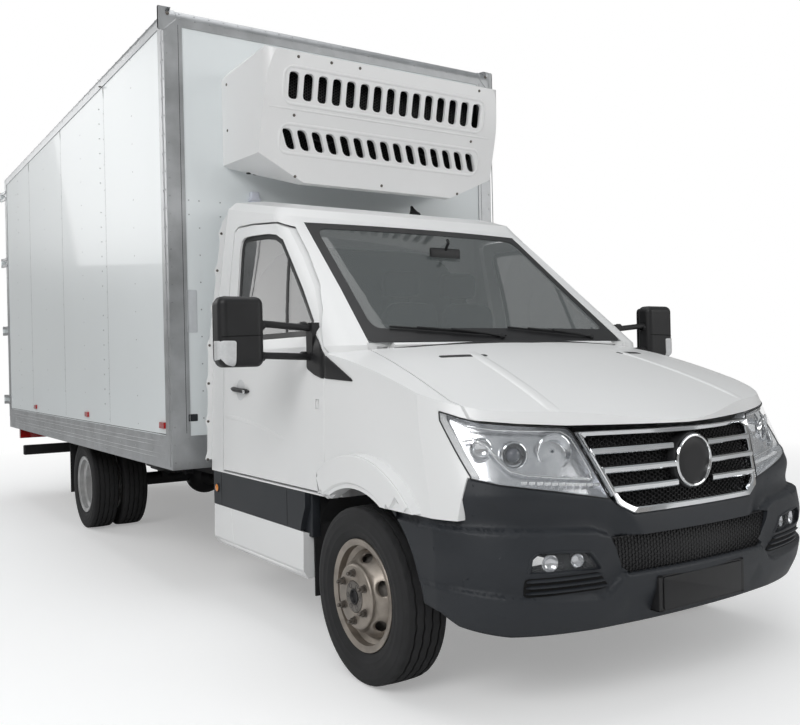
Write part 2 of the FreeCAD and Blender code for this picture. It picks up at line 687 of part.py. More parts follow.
DOOR_FRONT = -306
DOOR_REAR = -1420
DOOR_LOW = 722
DOOR_REACH = 1100

# How far in from the cab's middle plane the door may reach, by height
DOOR_CORE = [(825, 781), (825, 1345), (725, 1985), (690, 2200)]
DOOR_SILL = 905


def door_outline(grow):
    """The door in the side view; grow pushes its edges outwards for the opening's gap."""
    g = grow
    return [(fx(DOOR_REAR - g), DOOR_LOW - g), (fx(DOOR_FRONT + g), DOOR_LOW - g),
            (fx(DOOR_FRONT + g), 1306), (fx(-406 + g), 1417 + 0.4 * g), (fx(-475 + g), 1504 + 0.4 * g),
            (fx(-600 + 0.7 * g), 1628 + 0.7 * g), (fx(-792 + 0.6 * g), 1796 + 0.8 * g),
            (fx(-977 + 0.5 * g), 1951 + g), (fx(-1060 + 0.2 * g), 1984 + g), (fx(-1281), 2005 + g),
            (fx(-1430), 2008 + g), (fx(-1458 - g), 1985 + g), (fx(DOOR_REAR - 8 - g), 1500)]


def door_region(grow):
    """The space that the left door takes, clear of the cab's front corner inside it."""
    g = grow
    side = side_prism(door_outline(g), 0, DOOR_REACH)
    sill = DOOR_SILL - 5 * g
    core = [(sill, 600), (sill, 780)] + [(y - g, z) for y, z in DOOR_CORE]
    return side.common(front_prism(core + [(DOOR_REACH, 2200), (DOOR_REACH, 600)], fx(-1700), fx(0)))


def window_outline():
    """The glass in the door with its dark surround."""
    return [(fx(x), z) for x, z in [
        (-1325, 1392), (-472, 1392), (-436, 1412), (-462, 1461), (-629, 1614), (-802, 1764), (-947, 1889),
        (-1022, 1922), (-1110, 1938), (-1283, 1948), (-1348, 1946), (-1370, 1928), (-1375, 1885), (-1337, 1638)]]


def screen_outline():
    """The windscreen in the front view."""
    half = [(778, 1354), (737, 1613), (690, 1990)]
    return [(-y, z) for y, z in half] + [(y, z) for y, z in reversed(half)]


BONNET_AXIS = (fx(-232), 1312)
BONNET_LUG_Y = 700
BONNET_PIN = 8
LUG = 12
LUG_ROOM = 6


def bonnet_bracket(side):
    """The eye in the cab's scuttle that holds a bonnet pin."""
    x, z = BONNET_AXIS
    y = side * (BONNET_LUG_Y + SEAT_GAP)
    eye = block(x - 36, x + 14, y, y + side * LUG, z - 60, z + 12)
    bore = cylinder(BONNET_PIN + SEAT_GAP, Vector(x, y - side * 5, z), Vector(x, y + side * 30, z))
    return eye.cut(bore)


# Where the bonnet's rear corner swings: the wing starts outside it, and the cab is notched behind it
WING_INNER = 790
CORNER_INNER = 668
CORNER_ROOM = 10


def lug_room(side):
    """The room in the cab's front for a bonnet lug, its pin and the bonnet's rear corner."""
    x, z = BONNET_AXIS
    inner = BONNET_LUG_Y - LUG - LUG_ROOM
    outer = BONNET_LUG_Y + 2.5 * LUG + LUG_ROOM
    slot = block(x - 24, fx(-100), side * inner, side * outer, z - 30, z + 26)
    corner = block(x - CORNER_ROOM, fx(-100), side * CORNER_INNER, side * WING_INNER, z + 2, z + 43)
    return slot.fuse(corner)


# Door hinges: the pin's place in plan, and the foot of each hinge
DOOR_PIN = (fx(-381), 956)
DOOR_PIN_RADIUS = 5
DOOR_EYE = 9
DOOR_HINGES = [800, 1080]
HINGE_HEIGHT = 30
HINGE_ROOM = 6
WING_ROOM = 930


def hinge_arm(low):
    """The bent arm from the left front pillar to the eye round a door pin."""
    x, y = DOOR_PIN
    half = 8
    bend = 84
    outline = [(x - half, y), (x + half, y), (x + half, y - bend + half), (fx(-268), y - bend + half),
               (fx(-268), y - bend - half), (x - half, y - bend - half)]
    arm = plan_prism(outline, low, low + HINGE_HEIGHT)
    eye = Part.makeCylinder(DOOR_EYE, HINGE_HEIGHT, Vector(x, y, low))
    bore = Part.makeCylinder(DOOR_PIN_RADIUS + SEAT_GAP, HINGE_HEIGHT + 20, Vector(x, y, low - 10))
    return arm.fuse(eye).cut(bore)


def hinge_pocket(low):
    """The pocket in the left door's front edge that clears a hinge arm."""
    x, y = DOOR_PIN
    return block(x - 14, fx(DOOR_FRONT + 10), y - 110, y + DOOR_EYE + 1, low - HINGE_ROOM,
                 low + HINGE_HEIGHT + HINGE_ROOM)


def door_pin(low):
    """The pin across a hinge pocket."""
    x, y = DOOR_PIN
    return Part.makeCylinder(DOOR_PIN_RADIUS, HINGE_HEIGHT + 2 * HINGE_ROOM + 8, Vector(x, y, low - HINGE_ROOM - 4))


def cab_shell():
    """The welded body: floor, back, roof, pillars and firewall, hollow, with its openings cut."""
    shell = CAB_OUTER.cut(CAB_INNER)
    screen = front_prism(screen_outline(), fx(-1180), fx(0))
    shell = shell.cut(screen)
    opening = door_region(S.door_gap)
    for _, side in SIDES:
        shell = shell.cut(opening if side > 0 else flip(opening))
        apron = block(fx(DOOR_FRONT), fx(200), side * WING_ROOM, side * DOOR_REACH, 600, 1196)
        shell = shell.cut(apron).cut(lug_room(side))
    pieces = [shell, bonnet_bracket(1), bonnet_bracket(-1)]
    for low in DOOR_HINGES:
        pieces += [hinge_arm(low), flip(hinge_arm(low))]
    return largest(fuse(pieces))


def cab_door():
    """The left door: a thick lower half and a slim frame round the glass."""
    reach = door_region(0)
    low = block(fx(-1700), fx(0), 0, DOOR_REACH, 600, S.belt_height)
    lower = reach.common(low).common(CAB_OUTER).cut(CAB_INNER)
    upper = reach.cut(low).common(CAB_OUTER).cut(CAB_THIN)
    glass = side_prism(window_outline(), 500, DOOR_REACH)
    door = lower.fuse(upper).cut(glass)
    for low in DOOR_HINGES:
        door = door.cut(hinge_pocket(low)).fuse(door_pin(low))
    return largest(door.removeSplitter())


def door_glass():
    """The left pane, set a little in from the door's skin."""
    pane = side_prism(window_outline(), 500, DOOR_REACH)
    return largest(pane.common(cab_volume(12)).cut(cab_volume(12 + S.glass)))


def windscreen():
    """The bowed windscreen in its opening."""
    pane = front_prism(screen_outline(), fx(-1180), fx(0))
    return largest(pane.common(cab_volume(3)).cut(cab_volume(3 + S.glass)))


feature("cab_shell", cab_shell())
feature("windscreen", windscreen())
left_door = cab_door()
left_pane = door_glass()
feature("door_left", left_door)
feature("door_right", flip(left_door))
feature("door_glass_left", left_pane)
feature("door_glass_right", flip(left_pane))


# Nose: bonnet, wings, bumper, grille and lamps are cut from one curved form

NOSE_LEVELS = [
    # height, side in from the cab's side, corner start (x, y), corner (x, y), shoulder (x, y), middle x back
    (285, 18, (480, 962), (655, 850), (775, 560), 34),
    (420, 4, (500, 974), (700, 850), (812, 520), 0),
    (660, 0, (490, 976), (700, 850), (812, 520), 0),
    (860, 4, (430, 960), (625, 850), (752, 500), 40),
    (1020, 9, (370, 943), (560, 830), (690, 500), 46),
    (1200, 16, (330, 923), (500, 800), (640, 480), 112),
    (1450, 26, (300, 905), (470, 790), (600, 470), 152),
]


def nose_wire(level, t):
    """A plan outline of the nose at one height, drawn in by t."""
    z, inward, start, corner, shoulder, back_by = level
    side = S.cab_side - inward
    middle = S.front_overhang - back_by
    half = [(start[0] - 0.3 * t, start[1] - t), (corner[0] - 0.75 * t, corner[1] - 0.75 * t),
            (shoulder[0] - t, shoulder[1] - 0.3 * t), (middle - t, 0)]
    points = [Vector(fx(x), y, z) for x, y in half]
    points += [Vector(p.x, -p.y, z) for p in reversed(points[:-1])]
    front = Part.BSplineCurve()
    front.interpolate(points)
    back = fx(DOOR_FRONT + 8)
    left = Vector(back, side - t, z)
    right = Vector(back, -side + t, z)
    edges = [
        Part.LineSegment(right, left).toShape(),
        Part.LineSegment(left, points[0]).toShape(),
        front.toShape(),
        Part.LineSegment(points[-1], right).toShape(),
    ]
    return Part.Wire(edges)


BONNET_STATIONS = [(-372, 1402), (100, 1300), (500, 1168), (760, 1052), (960, 930)]
BONNET_FALL = 95


def above_bonnet(drop):
    """Everything above the crowned top of bonnet and wings, lowered by drop."""
    sections = []
    for x, crown in BONNET_STATIONS:
        top = crown - drop
        arc = Part.Arc(Vector(fx(x), -1050, top - BONNET_FALL), Vector(fx(x), 0, top),
                       Vector(fx(x), 1050, top - BONNET_FALL)).toShape()
        high = 1700
        up = Part.LineSegment(Vector(fx(x), 1050, top - BONNET_FALL), Vector(fx(x), 1050, high)).toShape()
        over = Part.LineSegment(Vector(fx(x), 1050, high), Vector(fx(x), -1050, high)).toShape()
        down = Part.LineSegment(Vector(fx(x), -1050, high), Vector(fx(x), -1050, top - BONNET_FALL)).toShape()
        sections.append(Part.Wire([arc, up, over, down]))
    return Part.makeLoft(sections, True, False)


@functools.lru_cache(maxsize=None)
def nose_volume(t):
    """The nose's whole form, drawn in by t."""
    body = Part.makeLoft([nose_wire(level, t) for level in NOSE_LEVELS], True, False)
    return body.cut(above_bonnet(t))


NOSE = nose_volume(0)
NOSE_SKIN = NOSE.cut(nose_volume(S.skin))

BONNET_EDGE = [(-70, 0), (-100, 300), (-150, 600), (-222, 782), (60, 818), (304, 845), (441, 856),
               (530, 836), (562, 812), (600, 1060), (900, 1060)]
LIP = [(0, 1018), (386, 1024), (516, 1027), (700, 1041), (810, 1054), (1100, 1100)]
BRIM = [(0, 706), (330, 706), (399, 744), (420, 766), (635, 806), (812, 836), (905, 864), (1100, 864)]
LAMP_TOP = [(1100, 1120), (899, 1086), (860, 1064), (812, 1047), (700, 1034), (519, 1018)]
LAMP_REAR = [(437, 1300), (437, 1086), (447, 1056), (523, 955), (592, 864), (592, 600)]
INTAKE = [(385, 508), (450, 633)]
FOG = [(499, 536), (767, 545), (758, 591), (733, 609), (545, 595)]


def full_width(half):
    """A line given from the middle to the left, completed from the far right to the left."""
    return [(-a, b) for a, b in reversed(half) if a > 0] + half


def plan_full(half):
    """A half plan outline (x, y), completed across the middle line."""
    return half + [(x, -y) for x, y in reversed(half) if y > 0]


@functools.lru_cache(maxsize=None)
def bonnet_region(gap):
    """Where the bonnet lies: inside its seams and above its front lip."""
    seams = [(fx(x - gap if y < 830 and x < 0 else x), y + (gap if y > 0 else 0)) for x, y in BONNET_EDGE]
    plan = plan_prism(plan_full(seams), 900, 1500)
    lip = front_prism(full_width([(y, z - gap) for y, z in LIP]) + [(1100, 1600), (-1100, 1600)],
                      fx(-400), fx(1000))
    return plan.common(lip)


def lamp_region(side, gap):
    """Where one headlamp lies in the nose: under the bonnet's lip and over the bumper's brim."""
    g = gap
    points = [(side * y, z + g) for y, z in LAMP_TOP]
    points += [(side * (502 - g), 1000), (side * (424 - g), BRIM[3][1] + 1 - g)]
    points += [(side * y, z + 1 - g) for y, z in BRIM[4:]]
    front = front_prism(points, fx(200), fx(1000))
    rear = side_prism([(fx(x - g), z) for x, z in LAMP_REAR] + [(fx(1000), 600), (fx(1000), 1300)],
                      -side * 10, side * 1200)
    return front.common(rear)


def grille_region(gap):
    """Where the grille lies between the lamps."""
    g = gap
    half = [(330 + g, 706 - g), (399 + g, 744), (404 + g, 768), (488 + g, 1004)]
    return front_prism(full_width(half), fx(500), fx(1000))


def bumper_region(gap):
    """Everything below the brim, and below the wings' lower edge behind the corner."""
    g = gap
    brim = front_prism([(a, b - SEAT_GAP + g) for a, b in full_width(BRIM)] + [(1100, 200), (-1100, 200)],
                       fx(0), fx(1000))
    behind = side_prism([(fx(0), 713 + g), (fx(585 - g), 713 + g), (fx(585 - g), 1000), (fx(0), 1000)],
                        -1200, 1200)
    return brim.cut(behind)


def arch_cut(radius):
    """The round wheel opening, right across the truck at the front axle."""
    return cylinder(radius, Vector(fx(0), -1200, AXLE_HEIGHT), Vector(fx(0), 1200, AXLE_HEIGHT))


def bonnet():
    """The bonnet panel with its rolled front lip and its two hinge lugs."""
    panel = largest(bonnet_region(0).common(NOSE_SKIN))
    x, z = BONNET_AXIS
    pieces = [panel]
    for _, side in SIDES:
        y = side * BONNET_LUG_Y
        pieces.append(cylinder(14, Vector(x, y, z), Vector(x, y - side * LUG, z)))
        pieces.append(block(x, x + 90, y, y - side * LUG, z - 14, z + 4))
        pieces.append(cylinder(BONNET_PIN, Vector(x, y - side * LUG, z), Vector(x, y + side * 2.5 * LUG, z)))
    return largest(fuse(pieces))


WIPER_ROOM = 10
COWL_HALF = 680


def cowl_region(gap):
    """Where the cowl panel lies: behind the bonnet's rear seam, between the wings."""
    back = [(fx(-420), BONNET_EDGE[3][1])]
    front = [(fx(x - S.panel_gap), y) for x, y in BONNET_EDGE[:4]]
    strip = block(fx(-420), fx(0), -COWL_HALF - gap, COWL_HALF + gap, 900, 1500)
    return plan_prism(plan_full(front + back), 900, 1500).common(strip)


def cowl():
    """The black cowl panel between bonnet and windscreen, as wide as the room between the lugs."""
    panel = cowl_region(0).common(NOSE_SKIN)
    return largest(panel.cut(cab_volume(-WIPER_ROOM - SEAT_GAP)))


def wing(side):
    """A front wing: the nose's skin outside bonnet, cowl, lamp and bumper, with its raised arch."""
    half = block(fx(-400), fx(1000), 0, side * 1200, 200, 1500)
    skin = NOSE_SKIN.common(half)
    skin = skin.cut(bonnet_region(S.panel_gap)).cut(cowl_region(SEAT_GAP))
    skin = skin.cut(block(fx(-420), fx(-180), 0, side * WING_INNER, 200, 1500))
    skin = skin.cut(lamp_region(side, 4))
    skin = skin.cut(grille_region(60))
    skin = skin.cut(bumper_region(4))
    skin = skin.cut(block(fx(-500), fx(1000), 0, side * 1200, 200, S.cab_bottom))
    glass_room = CAB_OUTER.common(block(fx(-700), fx(200), -1200, 1200, 1190, 1700))
    skin = skin.cut(glass_room)
    skin = skin.cut(arch_cut(S.arch_radius))
    ring = cylinder(S.flare_radius, Vector(fx(0), side * 940, AXLE_HEIGHT),
                    Vector(fx(0), side * (S.cab_side + S.flare_out), AXLE_HEIGHT))
    ring = ring.cut(arch_cut(S.arch_radius))
    ring = ring.common(block(fx(DOOR_FRONT + 8), fx(1000), 0, side * 1200, 726, 1400))
    ring = ring.cut(bonnet_region(S.panel_gap)).cut(lamp_region(side, 4))
    return largest(largest(skin).fuse(ring).removeSplitter())


# The bumper's lower edge, rising towards the wheel arch
BUMPER_FOOT = [(300, 424), (511, 396), (579, 352), (700, 318), (900, 310)]


def bumper():
    """The dark bumper with its air intake and lamp pockets."""
    body = bumper_region(0).common(NOSE_SKIN)
    body = body.cut(arch_cut(S.arch_radius))
    body = body.cut(side_prism([(fx(x), z) for x, z in BUMPER_FOOT + [(900, 200), (300, 200)]], -1200, 1200))
    body = body.cut(block(fx(-400), fx(300), -1200, 1200, 200, 800).cut(
        block(fx(0), fx(300), -1200, 1200, 600, 800)))
    body = body.cut(front_prism(full_width(INTAKE), fx(500), fx(1000)))
    for _, side in SIDES:
        pocket = front_prism([(side * y, z) for y, z in FOG], fx(500), fx(1000))
        body = body.cut(pocket)
    body = largest(body.cut(lamp_region(1, SEAT_GAP)).cut(lamp_region(-1, SEAT_GAP)))
    posts = [block(CHASSIS_NOSE + SEAT_GAP, fx(900), side * (S.rail_half_gap - S.rail_flange),
                   side * S.rail_half_gap, 626, 650).common(nose_volume(S.skin - 2)) for _, side in SIDES]
    return largest(fuse([body] + posts))


feature("bonnet", bonnet())
feature("cowl", cowl())
feature("wings", both(wing(1)))
feature("bumper", bumper())
feature("headlamps", both(largest(lamp_region(1, 0).common(NOSE).cut(nose_volume(120)))))


def rounded(shape, radius):
    """A block with all its edges rounded."""
    return shape.makeFillet(radius, shape.Edges)


def grille():
    """The bright frame, its three bars a side, the mesh behind them and a plain round boss."""
    outer = grille_region(0)
    inner = front_prism(full_width([(316, 734), (378, 762), (392, 790), (458, 984)]), fx(500), fx(1000))
    rim = outer.cut(inner).common(NOSE).cut(nose_volume(45))
    pieces = [rim]
    bars = []
    for low, reach, start in ((925, 452, 60), (859, 424, 60), (791, 400, 60)):
        for _, side in SIDES:
            bars.append(front_prism([(side * start, low), (side * reach, low - 4), (side * (reach + 5), low + 16),
                                     (side * start, low + 20)], fx(500), fx(1000)))
    pieces.append(Part.makeCompound(bars).common(nose_volume(8)).cut(nose_volume(40)))
    pieces.append(inner.common(nose_volume(40)).cut(nose_volume(48)))
    boss = cylinder(100, Vector(fx(740), 0, 874), Vector(fx(822), 0, 874))
    pieces.append(boss)
    return largest(fuse(pieces))


def intake_mesh():
    """The mesh plate in the bumper's opening."""
    opening = front_prism(full_width(INTAKE), fx(500), fx(1000))
    return largest(opening.common(nose_volume(18)).cut(nose_volume(26)))


def fog_lamp(side):
    """A lamp that fills its pocket in the bumper."""
    pocket = front_prism([(side * y, z) for y, z in FOG], fx(500), fx(1000))
    return largest(pocket.common(nose_volume(14)).cut(nose_volume(60)))


def wipers():
    """Two blades resting along the foot of the windscreen, each on its arm from the cowl."""
    result = []
    for inner, outer in ((-640, -40), (20, 640)):
        blade = front_prism([(inner, 1392), (outer, 1380), (outer, 1396), (inner, 1410)], fx(-500), fx(0))
        arm = front_prism([(outer - 40, 1350), (outer, 1350), (outer - 200, 1402), (outer - 240, 1402)],
                          fx(-500), fx(0))
        bar = blade.fuse(arm).common(cab_volume(-WIPER_ROOM)).cut(cab_volume(-SEAT_GAP))
        result.append(largest(bar))
    return Part.makeCompound(result)


def mirror():
    """A tall mirror head out on two arms from a bracket at the door's front corner."""
    head = rounded(block(fx(-500), fx(-402), 1186, 1388, 1262, 1558), 34)
    arms = [cylinder(15, Vector(fx(-440), 940, 1425), Vector(fx(-450), 1240, 1450)),
            cylinder(15, Vector(fx(-440), 950, 1300), Vector(fx(-450), 1240, 1312))]
    bracket = block(fx(-470), fx(-412), 925, 962, 1262, 1450)
    shape = fuse([head, bracket] + arms)
    return largest(shape.cut(CAB_OUTER))


def seat(y0, y1):
    """A seat with cushion, back and head restraint on a plinth."""
    floor = S.cab_bottom + S.cab_wall
    cushion = rounded(block(fx(-1300), fx(-800), y0, y1, floor + 180, floor + 325), 45)
    plinth = block(fx(-1260), fx(-860), y0 + 50, y1 - 50, floor + SEAT_GAP, floor + 200)
    lean = side_prism([(fx(-1330), floor + 270), (fx(-1200), floor + 270), (fx(-1300), floor + 860),
                       (fx(-1410), floor + 860)], y0 + 5, y1 - 5)
    mid = (y0 + y1) / 2
    rest = rounded(block(fx(-1410), fx(-1330), mid - 130, mid + 130, floor + 885, floor + 1050), 30)
    stalk = block(fx(-1380), fx(-1360), mid - 60, mid + 60, floor + 840, floor + 900)
    return fuse([cushion, plinth, lean, stalk, rest])


def dashboard():
    """The moulded dash across the cab, under the windscreen."""
    inner = cab_volume(S.cab_wall + SEAT_GAP)
    outline = [(fx(-250), 1330), (fx(-250), 905), (fx(-520), 905), (fx(-640), 1010), (fx(-700), 1180),
               (fx(-660), 1290), (fx(-560), 1330)]
    half = [(fx(-200), 790), (fx(-450), 790), (fx(-540), 850), (fx(-760), 850)]
    plan = plan_prism(half + [(x, -y) for x, y in reversed(half)], 900, 1400)
    return largest(side_prism(outline, -880, 880).common(plan).common(inner))


def steering_wheel():
    """Rim, spokes and column, raked towards the driver on the right."""
    rim = Part.makeTorus(195, 15)
    hub = Part.makeCylinder(48, 36, Vector(0, 0, -18))
    pieces = [rim, hub]
    for angle in (0, 120, 240):
        spoke = block(0, 190, -16, 16, -8, 8)
        spoke.rotate(Vector(0, 0, 0), Vector(0, 0, 1), angle)
        pieces.append(spoke)
    pieces.append(Part.makeCylinder(26, 118, Vector(0, 0, -130)))
    wheel = fuse(pieces)
    wheel.rotate(Vector(0, 0, 0), Vector(0, 1, 0), -52)
    wheel.translate(Vector(fx(-775), -400, 1290))
    return wheel.cut(dashboard())


feature("grille", grille())
feature("intake_mesh", intake_mesh())
feature("fog_lamps", both(fog_lamp(1)))
feature("wipers", wipers())
left_mirror = mirror()
feature("mirror_left", left_mirror)
feature("mirror_right", flip(left_mirror))
feature("seats", Part.makeCompound([seat(-640, -170), seat(-60, 760)]))
feature("dashboard", dashboard())
feature("steering_wheel", steering_wheel())


# Below the doors

def cladding():
    """The dark plank under the left door."""
    plank = block(fx(-1560), fx(-480), S.cab_side - 40, S.cab_side, S.cladding_bottom, S.cab_bottom - SEAT_GAP)
    return plank.cut(arch_cut(S.flare_radius))


def step():
    """The pale step under the plank on the left, with its rolled lower edge."""
    outline = [(S.cab_side - 130, S.cladding_bottom - 40), (S.cab_side, S.cladding_bottom),
               (S.cab_side + 4, S.sill_bottom + 40), (S.cab_side - 20, S.sill_bottom),
               (S.cab_side - 150, S.sill_bottom + 10), (S.cab_side - 150, S.sill_bottom + 60)]
    body = front_prism(outline, fx(-1555), fx(-500))
    hanger = []
    for x in (-1400, -800):
        hanger.append(block(fx(x), fx(x + 60), S.rail_half_gap, S.cab_side - 100, S.sill_bottom + 110,
                            S.sill_bottom + 150))
        hanger.append(block(fx(x), fx(x + 60), S.rail_half_gap, S.rail_half_gap + 40, S.sill_bottom + 110,
                            S.rail_bottom + 100))
    return fuse([body] + hanger).cut(arch_cut(S.arch_radius + 40))


def front_flap():
    """The rubber flap behind the left front wheel."""
    return block(fx(-484), fx(-474), 800, S.cab_side - 42, 240, S.cab_bottom - SEAT_GAP)


def rear_flap():
    """The rubber flap behind the left twin wheels, hung from a bearer."""
    x = REAR_AXLE - 430
    flap = block(x, x + 10, INNER_TWIN_Y - 90, S.rear_tyre_face, 240, FLOOR_LOW - BEARER_HIGH - 40)
    bar = block(x - 20, x + 30, S.rail_half_gap, S.rear_tyre_face, FLOOR_LOW - BEARER_HIGH - 40,
                FLOOR_LOW - BEARER_HIGH)
    return flap.fuse(bar).removeSplitter()


def underrun():
    """The bar below the rear doors on two posts from the rails' ends."""
    bar = rounded(block(BOX_REAR + 40, BOX_REAR + 100, -1020, 1020, 400, 500), 12)
    pieces = [bar]
    for _, side in SIDES:
        pieces.append(block(BOX_REAR + 60, BOX_REAR + 119.7, side * (S.rail_half_gap - 70),
                            side * S.rail_half_gap, 480, S.rail_bottom + S.rail_height))
    return fuse(pieces)


def tail_lamp():
    """The left lamp cluster under the rear sill."""
    case = block(BOX_REAR + 95, BOX_REAR + 150, 700, 1060, S.box_bottom - 120, S.box_bottom - 10)
    bracket = block(BOX_REAR + 120, BOX_REAR + 150, 850, 910, S.box_bottom - 20, S.box_bottom)
    return case.fuse(bracket).removeSplitter()


def marker_lamp(x):
    """A small lamp on the left side panel, just over the bottom rail."""
    return block(x, x + 80, W - STEP, W + 8, RAIL_TOP + 40, RAIL_TOP + 75)


feature("cladding", both(cladding()))
feature("steps", both(step()))
feature("mud_flaps", Part.makeCompound([front_flap(), flip(front_flap()), rear_flap(), flip(rear_flap())]))
feature("rear_underrun", underrun())
markers = [marker_lamp(x) for x in (BOX_FRONT - 200, BOX_FRONT - 1900, BOX_REAR + 1350)]
lamps = [tail_lamp()] + markers
feature("rear_lamps", Part.makeCompound(lamps + [flip(lamp) for lamp in lamps]))


# Cooler on the box front

COOLER_LOW = 2272
COOLER_SIDE = [(0, 2400), (0, 2930), (40, 2946), (505, 2950), (558, 2928), (505, 2682), (392, COOLER_LOW),
               (335, COOLER_LOW)]
COOLER_FACE = [(810, 2412), (810, 2902), (772, 2950)]
COOLER_BASE = 505
COOLER_BACK = PANEL_FRONT + SEAT_GAP


def cooler_form(t):
    """The moulded housing's form: side, front and plan outlines that meet, drawn in by t."""
    outline = [(COOLER_BACK + t if x == 0 else BOX_FRONT + x - t, z + (t if z < 2600 else -t))
               for x, z in COOLER_SIDE]
    side_view = side_prism(outline, -900, 900)
    half = [(COOLER_BASE - t, COOLER_LOW + t)]
    half += [(y - t, z + (t if z < 2500 else -t)) for y, z in COOLER_FACE]
    face = front_prism([(-a, b) for a, b in half] + [(a, b) for a, b in reversed(half)],
                       COOLER_BACK, BOX_FRONT + 700)
    back_w = S.cooler_half_width - t
    front_w = back_w - 25
    depth = BOX_FRONT + COOLER_DEPTH - t
    start = COOLER_BACK + t
    corner = COOLER_CORNER
    nip = corner * 0.3
    bow = 12
    z = 2200
    right = [Vector(start, back_w, z), Vector(depth - bow - corner, front_w, z),
             Vector(depth - bow - nip, front_w - nip, z), Vector(depth - bow, front_w - corner, z)]
    left = [Vector(p.x, -p.y, z) for p in right]
    edges = [
        Part.LineSegment(left[0], right[0]).toShape(),
        Part.LineSegment(right[0], right[1]).toShape(),
        Part.Arc(right[1], right[2], right[3]).toShape(),
        Part.Arc(right[3], Vector(depth, 0, z), left[3]).toShape(),
        Part.Arc(left[3], left[2], left[1]).toShape(),
        Part.LineSegment(left[1], left[0]).toShape(),
    ]
    plan = Part.Face(Part.Wire(edges)).extrude(Vector(0, 0, 900))
    return side_view.common(face).common(plan)


COOLER_DEPTH = 570
COOLER_CORNER = 70
SLOT_ROUND = 22


def slot_outline(y, low, high, lean):
    """A slot in the front view with rounded corners; lean shifts its foot sideways."""
    half = S.slot_width / 2
    r = SLOT_ROUND
    corners = [(half, high, 0), (-half, high, 90), (-half, low, 180), (half, low, 270)]
    points = []
    for across, z, turn in corners:
        middle_y = across - math.copysign(r, across)
        middle_z = z + (r if z == low else -r)
        for step in range(4):
            angle = math.radians(turn + 30 * step)
            height = middle_z + r * math.sin(angle)
            shift = lean * (high - height) / (high - low)
            points.append((y + middle_y + r * math.cos(angle) + shift, height))
    return points


def cooler():
    """The housing, hollow behind its wall, with a row of upright slots over a row of slanted ones."""
    shell = cooler_form(0).cut(cooler_form(S.cooler_wall))
    count = int(S.slot_count)
    cuts = []
    for index in range(count):
        y = S.slot_pitch * (index - (count - 1) / 2)
        for low, high, lean in ((2690, 2830, 0), (2438, 2542, 44)):
            cuts.append(front_prism(slot_outline(y - lean / 2, low, high, lean), BOX_FRONT + 330,
                                    BOX_FRONT + 700))
    return largest(shell.cut(Part.makeCompound(cuts)))


feature("cooler", cooler())


def cooler_fan(y):
    """A fan behind the slots: ring, hub and blades on a back plate."""
    x = BOX_FRONT + 300
    z = 2700
    band = cylinder(185, Vector(x, y, z), Vector(x + 60, y, z))
    band = band.cut(cylinder(175, Vector(x - 1, y, z), Vector(x + 61, y, z)))
    hub = cylinder(50, Vector(x, y, z), Vector(x + 50, y, z))
    pieces = [band, hub]
    for index in range(6):
        blade = block(x + 15, x + 35, y + 40, y + 178, z - 26, z + 26)
        blade.rotate(Vector(x, y, z), Vector(1, 0, 0), index * 60)
        pieces.append(blade)
    pieces.append(block(COOLER_BACK + S.cooler_wall + SEAT_GAP, x + 5, y - 30, y + 30, z - 30, z + 30))
    return fuse(pieces)


feature("cooler_fans", both(cooler_fan(360)))


def check_and_write():
    """Stop on any failed object, then write every sub-part to its own file."""
    doc.recompute()
    for obj in doc.Objects:
        if "Invalid" in obj.State or "Error" in obj.State:
            raise RuntimeError("failed object: " + obj.Label)
    os.makedirs("parts", exist_ok=True)
    for obj in DONE:
        shape = obj.Shape
        if shape.isNull() or not shape.isValid() or not shape.Solids:
            raise RuntimeError("bad shape: " + obj.Label)
        shape.exportStep("parts/%s.step" % obj.Label)


check_and_write()
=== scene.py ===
import json
import math

import bmesh
import bpy
from mathutils import Matrix, Vector
from mathutils.bvhtree import BVHTree
from mathutils.geometry import tessellate_polygon


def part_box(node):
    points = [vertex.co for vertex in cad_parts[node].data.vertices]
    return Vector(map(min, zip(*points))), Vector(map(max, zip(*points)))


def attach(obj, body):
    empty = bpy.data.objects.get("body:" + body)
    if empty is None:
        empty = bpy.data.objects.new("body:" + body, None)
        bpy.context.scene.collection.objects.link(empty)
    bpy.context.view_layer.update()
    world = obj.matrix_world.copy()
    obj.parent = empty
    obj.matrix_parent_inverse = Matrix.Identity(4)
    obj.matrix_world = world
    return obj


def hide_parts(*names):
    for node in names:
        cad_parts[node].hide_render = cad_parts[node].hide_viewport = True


# Refrigerated truck. Metres; +X is the front, +Y the truck's left, +Z up.

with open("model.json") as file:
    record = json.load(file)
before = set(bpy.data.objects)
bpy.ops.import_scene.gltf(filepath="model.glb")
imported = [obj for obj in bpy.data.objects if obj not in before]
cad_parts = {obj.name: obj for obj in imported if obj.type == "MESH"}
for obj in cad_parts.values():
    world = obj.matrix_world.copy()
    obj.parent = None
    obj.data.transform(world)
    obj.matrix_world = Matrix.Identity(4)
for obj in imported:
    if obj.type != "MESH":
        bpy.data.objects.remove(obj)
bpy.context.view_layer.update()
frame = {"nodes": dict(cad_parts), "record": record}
nodes = frame["nodes"]

FRONT_AXLE = 3.003
REAR_AXLE = FRONT_AXLE - 4.300
BOX_FRONT = FRONT_AXLE - 1.740
BOX_REAR = BOX_FRONT - 5.085
AXLE_Z = 0.350
FRONT_WHEEL_Y = 0.9035
REAR_OUTER_Y, REAR_INNER_Y = 0.9185, 0.6915
BOX_LENGTH = BOX_FRONT - BOX_REAR
SIDES = (("left", 1), ("right", -1))


# Camera, as fitted to the photograph: angles in radians, focal length in pixels
PHOTO_WIDTH = 800
FOCAL_PIXELS = 883.5
YAW = -0.5801
ROLL = 0.0224
EYE = (FRONT_AXLE + 3.017, -2.754, 1.267)
SENSOR = 36


